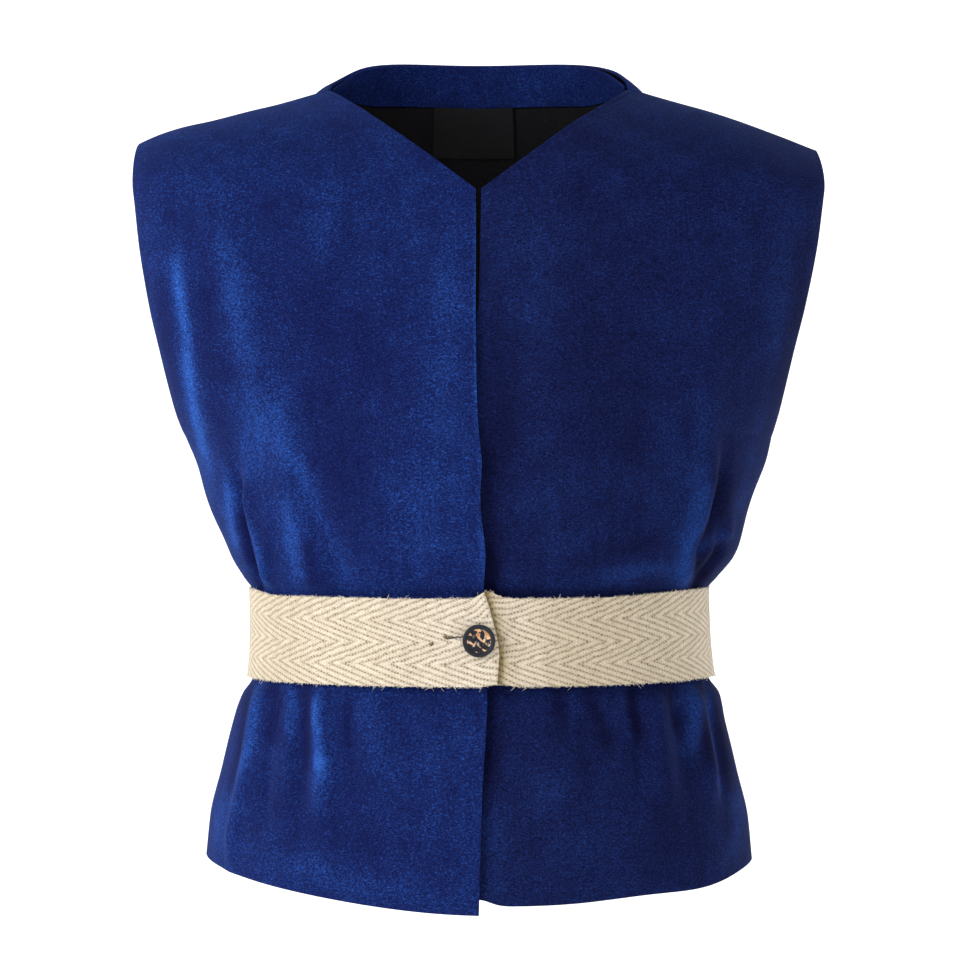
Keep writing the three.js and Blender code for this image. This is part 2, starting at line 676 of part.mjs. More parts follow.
// A dished button with a raised rim and two thread holes; its axis is turned to -Y.
// Each corner of its section is a distance in from its edge and a height above its back.
const BUTTON_SIDES = 28;
const HOLE_SIDES = 10;
const BUTTON_CORNERS = [
  { inset: 1.2, height: 0 },
  { inset: 0.3, height: 0.6 },
  { inset: 0, height: BUTTON_THICK / 2 },
  { inset: 0.3, height: BUTTON_THICK - 0.4 },
  { inset: 0.9, height: BUTTON_THICK },
  { inset: BUTTON_RIM, height: BUTTON_THICK - 0.15 },
  { inset: BUTTON_RIM + 0.9, height: BUTTON_THICK - BUTTON_DISH },
];

function buttonGeometry() {
  const radius = BUTTON_DIAMETER / 2;
  const profile = BUTTON_CORNERS.map(({ inset, height }) => new THREE.Vector2(radius - inset, height));
  profile.unshift(new THREE.Vector2(0, 0));
  profile.push(new THREE.Vector2(0, BUTTON_THICK - BUTTON_DISH));
  let solid = toSolid(new THREE.LatheGeometry(profile, BUTTON_SIDES));
  const hole_radius = BUTTON_HOLE.diameter / 2;
  for (const side of [-1, 1]) {
    const hole = new THREE.CylinderGeometry(hole_radius, hole_radius, BUTTON_THICK * 2, HOLE_SIDES);
    hole.translate(side * BUTTON_HOLE.x, BUTTON_THICK / 2, -side * BUTTON_HOLE.z);
    solid = solid.subtract(toSolid(hole));
  }
  return fromSolid(solid);
}

// Materials
const velvet_right = new THREE.MeshStandardMaterial({ color: 0x1c2c86, roughness: 0.9, metalness: 0 });
const velvet_left = new THREE.MeshStandardMaterial({ color: 0x16216a, roughness: 0.9, metalness: 0 });
const lining_black = new THREE.MeshStandardMaterial({ color: 0x08080c, roughness: 0.8, metalness: 0 });
const label_black = new THREE.MeshStandardMaterial({ color: 0x17171a, roughness: 0.6, metalness: 0 });
const linen_tape = new THREE.MeshStandardMaterial({ color: 0xd8ccac, roughness: 0.95, metalness: 0 });
const marbled = new THREE.MeshStandardMaterial({ color: 0x3a332f, roughness: 0.35, metalness: 0 });

const waistcoat = new THREE.Group();

function add(name, geometry, material) {
  const mesh = new THREE.Mesh(geometry, material);
  mesh.name = name;
  waistcoat.add(mesh);
  return mesh;
}

add('front_right', frontGeometry(RIGHT_FRONT), velvet_right);
add('front_left', frontGeometry(LEFT_FRONT), velvet_left);
add('back', backGeometry(), velvet_left);
add('back_lining', liningGeometry(), lining_black);
add('back_neck_facing', facingGeometry(), velvet_left);
add('neck_label', labelGeometry(), label_black);
add('belt', beltGeometry(), linen_tape);

const button = add('button', buttonGeometry(), marbled);
const belt_face = beltPlace(4, BELT_MID_Z).at.y - BELT_WALL / 2;
button.rotation.x = Math.PI;
button.position.set(0, belt_face - GAP, BUTTON_Z);

export default waistcoat;
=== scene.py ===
# %% [markdown]
# # A child's velvet waistcoat
# The real garment is cut from royal blue cotton velvet: two fronts and a back, sewn at the
# shoulders and sides, with a facing and a black lining inside the back. A herringbone tape
# belt with one button gathers it at the waist. It is shown filled out, as if it were worn.
# The construction comes from the CAD model, and everything here is made in its frame.

# %% Load the frame
import math

import bmesh
import bpy
import numpy as np
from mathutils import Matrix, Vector


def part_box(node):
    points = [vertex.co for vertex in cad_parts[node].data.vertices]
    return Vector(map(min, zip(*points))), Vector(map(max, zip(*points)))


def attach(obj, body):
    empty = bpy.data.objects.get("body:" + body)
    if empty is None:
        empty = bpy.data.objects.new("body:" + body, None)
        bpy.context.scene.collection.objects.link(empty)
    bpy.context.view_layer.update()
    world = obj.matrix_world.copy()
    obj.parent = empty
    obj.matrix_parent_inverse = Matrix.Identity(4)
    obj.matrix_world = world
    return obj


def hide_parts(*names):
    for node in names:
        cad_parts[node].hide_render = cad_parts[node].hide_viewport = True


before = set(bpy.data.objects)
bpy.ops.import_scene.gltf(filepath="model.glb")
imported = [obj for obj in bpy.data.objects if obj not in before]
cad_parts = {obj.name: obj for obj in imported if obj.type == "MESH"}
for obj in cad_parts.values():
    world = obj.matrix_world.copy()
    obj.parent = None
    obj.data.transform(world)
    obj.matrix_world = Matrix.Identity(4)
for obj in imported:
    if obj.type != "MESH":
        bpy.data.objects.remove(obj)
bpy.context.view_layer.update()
bpy.ops.object.select_all(action="DESELECT")
MM = 0.001
chance = np.random.default_rng(12)

# %% [markdown]
# ## The camera
# The photograph was taken straight from the front, level with the middle of the garment and
# from some way off, so a long lens keeps the sides from spreading. A lens of 120 mm on a
# 36 mm sensor sees 480 mm at 1.6 m, which is half a millimetre for each pixel.

# %% Camera
CAMERA_AWAY = 1.6
CAMERA_HEIGHT = -0.195
CAMERA_SIDE = 0.0005

bpy.ops.object.camera_add(
    location=(CAMERA_SIDE, -CAMERA_AWAY, CAMERA_HEIGHT), rotation=(math.pi / 2, 0, 0)
)
camera = bpy.context.object
camera.name = "camera"
camera.data.lens = 120
camera.data.sensor_width = 36
camera.data.clip_start = 0.05
bpy.context.scene.camera = camera
print("camera lens in mm:", camera.data.lens)

# %% [markdown]
# ## Shader maths
# Patterns such as a weave are sums of sockets. One small class wraps a socket, so that a
# pattern can be written as an expression, and each operator adds the Math node it stands for.

# %% Helpers for materials
class Value:
    def __init__(self, finish, socket):
        self.finish = finish
        self.socket = socket

    def math(self, operation, *others):
        inputs = dict(enumerate((self, *others)))
        return self.finish.node("ShaderNodeMath", {"operation": operation}, inputs)

    def __add__(self, other):
        return self.math("ADD", other)

    def __sub__(self, other):
        return self.math("SUBTRACT", other)

    def __mul__(self, other):
        return self.math("MULTIPLY", other)

    def __truediv__(self, other):
        return self.math("DIVIDE", other)

    def __rsub__(self, other):
        return (self * -1.0) + other


class Finish:
    """A material under construction, with its main shader."""

    def __init__(self, name, **constants):
        self.material = bpy.data.materials.new(name)
        self.material.use_nodes = True
        self.tree = self.material.node_tree
        self.shader = self.tree.nodes["Principled BSDF"]
        for key, value in constants.items():
            self.shader.inputs[key.replace("_", " ")].default_value = value

    def node(self, kind, settings=None, inputs=None, out=0):
        made = self.tree.nodes.new(kind)
        for key, value in (settings or {}).items():
            setattr(made, key, value)
        for key, value in (inputs or {}).items():
            self.put(made.inputs[key], value)
        return Value(self, made.outputs[out])

    def put(self, socket, value):
        if isinstance(value, Value):
            self.tree.links.new(value.socket, socket)
        else:
            socket.default_value = value

    def feed(self, **links):
        for key, value in links.items():
            self.put(self.shader.inputs[key.replace("_", " ")], value)

    def place(self, scale=(1, 1, 1)):
        spot = self.node("ShaderNodeTexCoord", out="Object")
        return self.node("ShaderNodeMapping", inputs={"Vector": spot, "Scale": scale})

    def noise(self, scale, detail=2.0, rough=0.5, stretch=(1, 1, 1)):
        spot = self.place(stretch)
        inputs = {"Vector": spot, "Scale": scale, "Detail": detail, "Roughness": rough}
        return self.node("ShaderNodeTexNoise", inputs=inputs)

    def remap(self, value, low, high, start=0.0, end=1.0):
        inputs = {0: value, 1: low, 2: high, 3: start, 4: end}
        return self.node("ShaderNodeMapRange", {"clamp": True}, inputs)

    def blend(self, mask, first, second):
        inputs = {0: mask, 6: first, 7: second}
        return self.node("ShaderNodeMix", {"data_type": "RGBA"}, inputs, out=2)

    def ramp(self, value, places, colours):
        shown = self.node("ShaderNodeValToRGB", inputs={"Fac": value}, out="Color")
        stops = shown.socket.node.color_ramp.elements
        for _ in places[2:]:
            stops.new(0.5)
        for stop, place, tint in zip(stops, places, colours):
            stop.position = place
            stop.color = tint
        return shown

    def bump(self, height, strength, distance, onto=None):
        inputs = {"Height": height, "Strength": strength, "Distance": distance}
        if onto is not None:
            inputs["Normal"] = onto
        return self.node("ShaderNodeBump", inputs=inputs)


def colour(red, green, blue):
    return (red, green, blue, 1.0)


# %% [markdown]
# ## Velvet
# Velvet is a short upright pile. It looks dark where one looks down into it and bright where
# the light grazes it, which is what the sheen of the shader does. The nap lies in uneven
# patches, so the colour drifts softly over 2 to 6 cm, with a fine grain of pile on top. The
# three panels were brushed differently in the photograph, so each has its own depth of blue, and
# part of that difference is painted light: the wearer's right front is painted lighter and the
# left front painted darker, as a lamp from the viewer's left would light them. Painted
# highlights and painted shade along the creases come on top, through an attribute.

# %% Velvet
PAINTED_LIGHT_AND_SHADE = "tone"


def velvet(name, stops, sheen):
    """Velvet in four stops of colour, set by random nap and by painted highlights and shade."""
    finish = Finish(
        name, Roughness=0.8, Sheen_Weight=sheen, Sheen_Roughness=0.3,
        Sheen_Tint=colour(0.1, 0.3, 1.0), Specular_IOR_Level=0.02,
    )
    # lie reads the attribute of painted highlights and painted shade along the creases.
    lie = finish.node("ShaderNodeAttribute", {"attribute_name": PAINTED_LIGHT_AND_SHADE}, out="Fac")
    drift = finish.noise(13.0, 2.0, 0.5, (1.0, 1.0, 0.6)) - 0.5
    crush = finish.noise(52.0, 4.0, 0.62) - 0.5
    streak = finish.noise(110.0, 2.0, 0.5, (1.0, 1.0, 0.1)) - 0.5
    dashes = finish.noise(620.0, 2.0, 0.7, (1.0, 1.0, 1.8)) - 0.5
    tips = finish.noise(1250.0, 1.0, 0.5, (1.0, 1.0, 1.5)) - 0.5
    pile = finish.noise(3800.0, 1.0, 0.5)
    tone = lie * 0.4 + drift * 0.14 + crush * 0.34 + streak * 0.16
    tone = tone + dashes * 0.7 + tips * 1.0 + 0.35
    finish.feed(Base_Color=finish.ramp(tone, (0.0, 0.4, 0.72, 1.0), stops))
    rough = finish.bump(pile + dashes, 0.4, 0.0004)
    finish.feed(Normal=finish.bump(crush, 0.16, 0.0014, rough))
    return finish.material


# Lighter and darker copies of one velvet: partly their nap, partly painted light, with the right
# front painted lighter and the left front painted darker.
velvet_right = velvet("velvet_right", (
    colour(0.0022, 0.003, 0.026), colour(0.0046, 0.0098, 0.061),
    colour(0.0102, 0.0385, 0.18), colour(0.022, 0.085, 0.33),
), 0.08)
velvet_left = velvet("velvet_left", (
    colour(0.0015, 0.0018, 0.0125), colour(0.0041, 0.0068, 0.039),
    colour(0.0068, 0.0205, 0.1), colour(0.012, 0.042, 0.18),
), 0.045)
velvet_back = velvet("velvet_back", (
    colour(0.0018, 0.0026, 0.021), colour(0.0043, 0.009, 0.056),
    colour(0.0086, 0.031, 0.15), colour(0.016, 0.062, 0.25),
), 0.06)
print("velvets:", velvet_right.name, velvet_left.name, velvet_back.name)

# %% [markdown]
# ## Lining and label
# The lining is a thin plain weave in black, with a slight shine along its threads. The label
# is a woven black cloth too. Both weaves are far finer than a pixel, so they are a bump of
# crossed waves.

# %% Lining and label cloth
def plain_weave(name, base, shine, threads_per_metre):
    finish = Finish(name, Roughness=shine, Specular_IOR_Level=0.1)
    across, along = [
        finish.node(
            "ShaderNodeTexWave", {"wave_type": "BANDS", "bands_direction": direction},
            {"Vector": finish.place(), "Scale": threads_per_metre / 6.28, "Distortion": 0.6},
        )
        for direction in "XZ"
    ]
    drift = finish.noise(40.0, 2.0)
    lighter = tuple(min(1.0, part * 1.9) for part in base[:3]) + (1.0,)
    finish.feed(Base_Color=finish.blend(drift, base, lighter))
    finish.feed(Normal=finish.bump(across.math("MAXIMUM", along), 0.25, 0.0002))
    return finish.material


lining_cloth = plain_weave("lining_cloth", colour(0.0012, 0.0012, 0.0018), 0.7, 2200.0)
label_cloth = plain_weave("label_cloth", colour(0.003, 0.003, 0.0036), 0.6, 1800.0)
print("woven cloths:", lining_cloth.name, label_cloth.name)

# %% [markdown]
# ## The sizes of the cloth
# A fitted garment is a surface through a few measured sections. Each table below has a row
# for a section, in millimetres, and the same rows that shape the solids shape the cloth. A
# curve that never overshoots its rows joins them.

# %% Section tables
HEM_Z = -400
BACK_HEM_Z = -386
CHEST_TOP_Z = -57
NECK_HALF_WIDTH = 75.0
NECK_POINT_Y = 2.0
BACK_NECK_Y = 61.0
BACK_NECK_RISE = 20.0
BACK_NECK_FALL = 1.8
SHOULDER_TIP = np.array([168.0, 4.0, -29.5])
SHOULDER_BOW = 2.5
NECK_SHARE = 0.45
SIDE_SEAM_Y = 4.0

BODY_COLUMNS = ("front_z", "side_z", "back_z", "half_width", "front_y", "back_y")
BODY_ROWS = [
    (-400, -382, -386, 136, -98, 90),
    (-374, -362, -364, 134.5, -97.5, 89),
    (-346, -338, -339, 128.5, -95, 86),
    (-320, -316, -316, 122.5, -91, 81),
    (-303, -302, -302, 118.5, -87.5, 76),
    (-293, -293, -293, 112.8, -83.8, 72.3),
    (-272, -272, -272, 111.5, -83.5, 72),
    (-251, -251, -251, 111.8, -83.8, 72.3),
    (-243, -243, -243, 117.4, -89, 79),
    (-233, -233, -233, 124.5, -93.5, 83.5),
    (-220, -219, -219, 130, -97, 87),
    (-195, -194, -194, 138.6, -99, 90),
    (-174, -174, -174, 145.3, -100, 91.8),
]

CHEST_COLUMNS = ("in_y", "in_z", "out_x", "out_y", "out_z", "out_turn")
FRONT_CHEST_ROWS = [
    (-99.9, -167, 146.4, -5, -170, 88),
    (-99.6, -157, 148.2, -15, -162.5, 85),
    (-99, -145, 150.6, -26, -150, 80),
    (-98, -130, 153.8, -37, -133, 75),
    (-95.5, -108, 158.6, -46, -110, 70),
    (-90.5, -83, 163.3, -48, -84, 66),
    (-82, -57, 167.4, -42, -55, 64),
]
BACK_CHEST_ROWS = [
    (92.2, -167, 146.4, 13, -170, 88),
    (92.5, -157, 148.2, 22, -162.5, 85),
    (92.8, -145, 150.6, 32, -150, 80),
    (93, -130, 153.8, 41, -133, 75),
    (92.5, -108, 158.6, 47, -110, 70),
    (90, -83, 163.3, 48, -84, 66),
    (86, -57, 167.4, 42, -55, 64),
]

YOKE_COLUMNS = ("at", "start_reach", "lean", "end_x", "end_y", "end_z")
FRONT_YOKE = [
    (0.0, 57, 75, 45, 134, 34),
    (0.3, 52, 45, 26, 112, 14),
    (0.6, 44, 18, 10, 82, 4),
    (1.0, 30, 0, 0, 46, 0),
]
BACK_YOKE = [
    (0.0, 76, 0, 0, -28, 72),
    (0.25, 74, -3, -22, -36, 58),
    (NECK_SHARE, 66, -4, -52, -58, 0),
    (0.7, 50, 0, -12, -76, 0),
    (1.0, 30, 0, 0, -46, 0),
]


def named(columns, rows):
    return {name: np.array([row[i] for row in rows], float) for i, name in enumerate(columns)}


def ease(value, low, high):
    t = np.clip((value - low) / (high - low), 0, 1)
    return t * t * (3 - 2 * t)


def along_column(table, key, place, at):
    """The smooth curve through one column of a table, without overshoot."""
    places = table[place]
    values = table[key]
    width = np.diff(places)
    steep = np.diff(values) / width
    slope = np.zeros(len(values))
    slope[0] = steep[0]
    slope[-1] = steep[-1]
    for i in range(1, len(values) - 1):
        if steep[i - 1] * steep[i] > 0:
            before = 2 * width[i] + width[i - 1]
            after = width[i] + 2 * width[i - 1]
            slope[i] = (before + after) / (before / steep[i - 1] + after / steep[i])
    at = np.clip(at, places[0], places[-1])
    row = np.clip(np.searchsorted(places, at, side="right") - 1, 0, len(places) - 2)
    t = (at - places[row]) / width[row]
    curve = values[row] * (1 + 2 * t) * (1 - t) ** 2 + values[row + 1] * t * t * (3 - 2 * t)
    curve += slope[row] * width[row] * t * (1 - t) ** 2
    return curve + slope[row + 1] * width[row] * t * t * (t - 1)


# %% [markdown]
# ## Panels
# The front and the back share the side seam, so each panel's table joins the body sections
# to its own chest sections. v counts from 0 at the hem to 1 at the top of the chest.

# %% Panels from the tables
def panel_table(facing):
    body = named(BODY_COLUMNS, BODY_ROWS)
    chest = named(CHEST_COLUMNS, FRONT_CHEST_ROWS if facing < 0 else BACK_CHEST_ROWS)
    side = "front" if facing < 0 else "back"
    count = len(BODY_ROWS)
    low = {
        "in_y": body[side + "_y"], "in_z": body[side + "_z"], "out_x": body["half_width"],
        "out_y": np.full(count, SIDE_SEAM_Y), "out_z": body["side_z"],
        "out_turn": np.full(count, 90.0),
    }
    table = {name: np.concatenate([low[name], chest[name]]) for name in CHEST_COLUMNS}
    heights = table["in_z"] - table["in_z"][0]
    table["v"] = heights / heights[-1]
    return table


FRONT = {"facing": -1, "rows": panel_table(-1), "yoke": named(YOKE_COLUMNS, FRONT_YOKE)}
BACK = {"facing": 1, "rows": panel_table(1), "yoke": named(YOKE_COLUMNS, BACK_YOKE)}
print("sections from the hem to the neck opening:", len(FRONT["rows"]["v"]))

# %% [markdown]
# ## From sections to a surface
# Across the panel each section is one Bezier curve, from the centre to the side seam or the
# armhole. Above the last section the cloth runs over the shoulder on Hermite curves, which
# start in line with the chest and meet the other panel in one plane at the seam.

# %% Surface of a panel
IN_REACH = 0.6
OUT_REACH = 0.56
STEP = 0.002


def vector(x, y, z):
    return np.stack(np.broadcast_arrays(x, y, z), axis=-1).astype(float)


def section_points(panel, u, v, past):
    """Places on the body below the yoke. u runs from the centre to the side, v from the hem up."""
    get = lambda key: along_column(panel["rows"], key, "v", v)
    in_z = get("in_z")
    start = vector(past(in_z), get("in_y"), in_z)
    end = vector(get("out_x"), get("out_y"), get("out_z"))
    turn = np.radians(get("out_turn"))
    reach = OUT_REACH * np.abs(end[..., 1] - start[..., 1]) / np.sin(turn)
    leave = start.copy()
    leave[..., 0] += IN_REACH * (end[..., 0] - start[..., 0])
    arrive = end.copy()
    arrive[..., 0] -= reach * np.cos(turn)
    arrive[..., 1] += panel["facing"] * reach * np.sin(turn)
    t = np.asarray(u)[..., None]
    points = start * (1 - t) ** 3 + leave * 3 * t * (1 - t) ** 2
    return points + arrive * 3 * t * t * (1 - t) + end * t**3


def shoulder_points(w):
    bow = SHOULDER_BOW * np.sin(np.pi * w) * w
    x = NECK_HALF_WIDTH + (SHOULDER_TIP[0] - NECK_HALF_WIDTH) * w
    y = NECK_POINT_Y + (SHOULDER_TIP[1] - NECK_POINT_Y) * w
    return vector(x, y, SHOULDER_TIP[2] * w + bow)


def back_neck_points(share):
    angle = np.radians(90 * np.clip(share, 0, 1))
    deep = np.cos(angle)
    rise = BACK_NECK_RISE * (1 - (1 - deep) ** BACK_NECK_FALL)
    return vector(
        NECK_HALF_WIDTH * np.sin(angle), NECK_POINT_Y + (BACK_NECK_Y - NECK_POINT_Y) * deep, rise
    )


def yoke_ends(panel, u):
    parts = [along_column(panel["yoke"], key, "at", u) for key in ("end_x", "end_y", "end_z")]
    end = vector(*parts)
    if panel["facing"] > 0:
        w = np.clip((u - NECK_SHARE) / (1 - NECK_SHARE), 0, 1)
        along = shoulder_points(np.minimum(1, w + 0.01)) - shoulder_points(w - 0.01)
        normal = np.cross(along, yoke_ends(FRONT, w))
        level = -(normal[..., 0] * end[..., 0] + normal[..., 1] * end[..., 1]) / normal[..., 2]
        end[..., 2] = np.where(u >= NECK_SHARE, level, end[..., 2])
    return end


def yoke_tops(panel, u):
    if panel["facing"] < 0:
        return shoulder_points(u)
    beyond = np.clip((u - NECK_SHARE) / (1 - NECK_SHARE), 0, 1)
    neck = back_neck_points(u / NECK_SHARE)
    return np.where((u < NECK_SHARE)[..., None], neck, shoulder_points(beyond))


def yoke_points(panel, u, s, past):
    """Places on the yoke. s runs from the top of the chest to the shoulder or the neck."""
    get = lambda key: along_column(panel["yoke"], key, "at", u)[..., None]
    one = np.ones_like(u)
    base = section_points(panel, u, one, past)
    rise = base - section_points(panel, u, one * (1 - STEP), past)
    rise *= get("start_reach") / rise[..., 2:3]
    along = section_points(panel, np.minimum(1, u + STEP), one, past)
    along -= section_points(panel, np.maximum(0, u - STEP), one, past)
    along /= np.linalg.norm(along, axis=-1, keepdims=True)
    s = np.asarray(s)[..., None]
    points = base * (1 + 2 * s) * (1 - s) ** 2 + yoke_tops(panel, u) * s * s * (3 - 2 * s)
    points += (rise + along * get("lean")) * s * (1 - s) ** 2
    return points + yoke_ends(panel, u) * s * s * (s - 1)


def surface(panel, u, v, past=lambda z: z * 0.0):
    low = section_points(panel, u, np.clip(v, 0, 1), past)
    high = yoke_points(panel, u, np.clip(v - 1, 0, 1), past)
    return np.where((np.asarray(v) <= 1)[..., None], low, high)


# %% [markdown]
# ## Folds and edges
# The belt draws the velvet in, so it blouses above and gathers below. The main creases are
# listed one by one, each a soft trough or ridge along a slanting line with its own width and
# depth. Between them a seeded loop adds short puckers that start at the belt and die away,
# because real gathers are many and none is like the next.

# %% Fold tables
EDGE_COLUMNS = ("z", "past")
RIGHT_EDGE = named(EDGE_COLUMNS, [
    (-400, 0), (-345, -1.5), (-295, -4), (-225, -1), (-120, 0.5), (-57, 1.4),
])
LEFT_EDGE = named(EDGE_COLUMNS, [
    (-400, 1), (-360, -6), (-300, -11), (-200, -10), (-130, -2), (-110, 0.8), (-57, 1.2),
])
TUCK = named(("z", "depth"), [(-400, 3), (-340, 3.4), (-150, 3.4), (-112, 2.8), (-62, 0)])

# Each crease: x and z of its upper end, x and z of its lower end, width, height.
RIGHT_FOLDS = [
    (122, -70, 90, -190, 13, 1.8),
    (90, -185, 82, -240, 9, 1.6),
    (86, -196, 62, -246, 8, -2.2),
    (73, -62, 72, -90, 10, 1.2),
    (117, -204, 107, -246, 5, -4.2),
    (112, -208, 101, -248, 5, 2.4),
    (107, -300, 119, -368, 6, 3),
    (98, -298, 103, -345, 6, -2.6),
    (85, -298, 86, -340, 6, -3),
    (76, -300, 74, -344, 6.5, 3.2),
    (52, -302, 50, -332, 9, 1.4),
]
LEFT_FOLDS = [
    (110, -150, 104, -212, 11, 1.4),
    (110, -194, 97, -246, 5.5, 2.8),
    (117, -196, 106, -230, 5.5, -3.4),
    (121, -221, 103, -235, 5, 1.2),
    (116, -231, 105, -246, 5.5, -3.2),
    (44, -299, 50, -326, 7, -2),
    (60, -299, 66, -326, 7, -2.2),
    (73, -298, 77, -334, 6.5, -3.4),
    (84, -300, 89, -340, 7, 2.4),
    (94, -298, 99, -328, 6, -3),
    (105, -300, 112, -336, 6, 2.8),
    (112, -298, 118, -334, 5, -2.4),
]
BACK_FOLDS = [
    (-112, -196, -96, -244, 9, 3),
    (-78, -210, -74, -246, 9, -3),
    (-46, -178, -52, -244, 11, 2.4),
    (-8, -206, -12, -246, 9, -2.4),
    (26, -190, 30, -245, 11, 2.6),
    (62, -212, 58, -246, 8, -3.2),
    (104, -188, 88, -244, 10, 3),
    (-98, -299, -106, -344, 8, 3),
    (-70, -299, -74, -336, 8, -3),
    (-36, -300, -38, -352, 9, 2.8),
    (-2, -299, 0, -332, 8, -2.4),
    (38, -300, 42, -346, 9, 3),
    (68, -299, 73, -338, 8, -2.8),
    (96, -300, 104, -350, 8, 3),
]
FOLD_END = 14.0
SEAM_HOLD = 16.0
TUCK_FULL_X = 9.0
TUCK_END_X = 52.0
BELT_TOP_Z = -251.0
BELT_LOW_Z = -293.0
BELT_MID_Z = (BELT_TOP_Z + BELT_LOW_Z) / 2
UNDER_TAPE = (22, 34)
FINE_TOP_Z = -246
FINE_LOW_Z = -298


def puckers(low_x, high_x, count):
    """Short gathers that start at the belt, half above it and half below."""
    rows = []
    for place in np.linspace(low_x, high_x, count):
        x = place + chance.uniform(-3, 3)
        drift = chance.uniform(-0.12, 0.2) * x / 20
        width = chance.uniform(2.4, 4.2)
        depth = chance.uniform(0.5, 1.1) * chance.choice([-1, 1])
        length = chance.uniform(8, 26)
        if chance.random() < 0.5:
            high_z = FINE_TOP_Z + 2 + length
            rows.append((x + drift * length / 10, high_z, x, FINE_TOP_Z, width, depth))
        else:
            low_z = FINE_LOW_Z - 2 - length
            rows.append((x, FINE_LOW_Z, x + drift * length / 10, low_z, width, depth))
    return rows


FINE_RIGHT = puckers(30, 106, 20)
FINE_LEFT = puckers(30, 106, 20)
FINE_BACK = puckers(-104, 104, 42)
print("main creases:", len(RIGHT_FOLDS) + len(LEFT_FOLDS) + len(BACK_FOLDS))


def fold_depths(rows, x, z, slant):
    depth = np.zeros_like(x)
    for top_x, top_z, low_x, low_z, width, height in rows:
        t = np.clip((top_z - z) / (top_z - low_z), 0, 1)
        across = (x - (top_x + (low_x - top_x) * t)) / slant / width
        beyond = np.maximum(0, np.maximum(z - top_z, low_z - z)) / FOLD_END
        depth += height * np.exp(-across * across - beyond * beyond)
    near = ease(np.abs(z - BELT_MID_Z), *UNDER_TAPE)
    return np.where(depth > 0, depth * near, depth * np.maximum(0.5, near))


# %% [markdown]
# ## Painted highlights and painted shade
# Light and dark strokes are painted into the colour of the velvet. They stand for the highlights
# and shadows that the lamps make along the creases, for the highlight along the front edge, and
# for the shadow of one front on the other. Each row is one stroke: its width, its strength and
# the points it runs through. A negative strength is a dark stroke. The strokes fade at both
# ends and are stored on the cloth as an attribute.

# %% Painted highlights and shade
RIGHT_STROKES = [
    (2.0, 1.0, [(0, -56), (0, -110), (0, -172)]),
    (1.6, 0.4, [(0, -160), (-2, -210), (-3, -252)]),
    (3.4, 0.75, [
        (146, -78), (144.8, -95), (142, -108), (139, -125), (139, -143), (138, -163), (134, -190),
    ]),
    (9, 0.3, [(147, -66), (143, -100), (139, -140), (132, -196)]),
    (5, -0.35, [(154, -88), (151, -120), (147, -150), (141, -176)]),
    (8, -0.32, [(131, -78), (131, -125), (126, -165), (119, -192)]),
    (7, 0.42, [(121.5, -66), (119.5, -82), (117.6, -95), (112.3, -125), (108.5, -146)]),
    (18, 0.34, [(107, -140), (105, -166), (102, -198)]),
    (5.5, 0.4, [(102, -156), (95, -167), (88, -182), (83, -193), (76, -209), (69, -225), (62, -246)]),
    (14, -0.3, [(84, -134), (76, -166), (68, -194), (56, -226)]),
    (5.5, 0.55, [(92, -198), (89, -219), (87.7, -233), (85, -248)]),
    (4, -0.4, [(84, -219), (80, -232), (77, -246)]),
    (2.8, 0.7, [(123, -188), (121.6, -209), (119.8, -219.4), (116.6, -231)]),
    (3.8, -1.0, [(116, -202), (114, -215), (111.2, -226), (108.6, -238), (106.4, -249)]),
    (2.1, 0.8, [(112, -206), (109.2, -218), (106, -227), (103.8, -236), (102.2, -250)]),
    (2.4, 0.4, [(115.5, -234), (110.5, -240), (106.6, -246)]),
    (6, 0.2, [(75, -50), (73, -86)]),
    (13, 0.2, [(26, -66), (20, -130), (16, -190), (20, -246)]),
    (12, 0.16, [(44, -150), (36, -200), (34, -244)]),
    (24, -0.24, [(60, -96), (52, -140), (46, -196)]),
    (15, -0.18, [(100, -56), (86, -96), (78, -136)]),
    (2.6, 0.9, [(77.2, -290), (76.3, -311), (75, -324), (74.6, -337)]),
    (5.5, 0.34, [(75, -322), (76, -350)]),
    (3.6, -0.75, [(82, -290), (82.2, -311), (83.6, -334)]),
    (3, 0.6, [(90, -290), (90.3, -305), (91.6, -320)]),
    (5, -0.5, [(98.6, -292), (99.6, -306), (101.4, -324)]),
    (3.2, 0.75, [
        (106.6, -288), (105.8, -301), (108, -312), (110.7, -326), (115.6, -338), (118.4, -350),
    ]),
    (8, 0.36, [(117, -344), (124, -360), (124, -378)]),
    (3, -0.75, [(111.6, -292), (113.4, -312), (116.6, -331), (121, -348)]),
    (5, 0.26, [(51.2, -292), (52.9, -307), (48, -328)]),
    (5, -0.28, [(63, -292), (62, -312), (58, -338)]),
    (10, 0.18, [(28, -324), (12, -340)]),
    (7, 0.26, [(106, -374), (60.5, -384.5), (35, -389), (8, -396)]),
    (18, -0.16, [(44, -348), (76, -358), (98, -360)]),
]
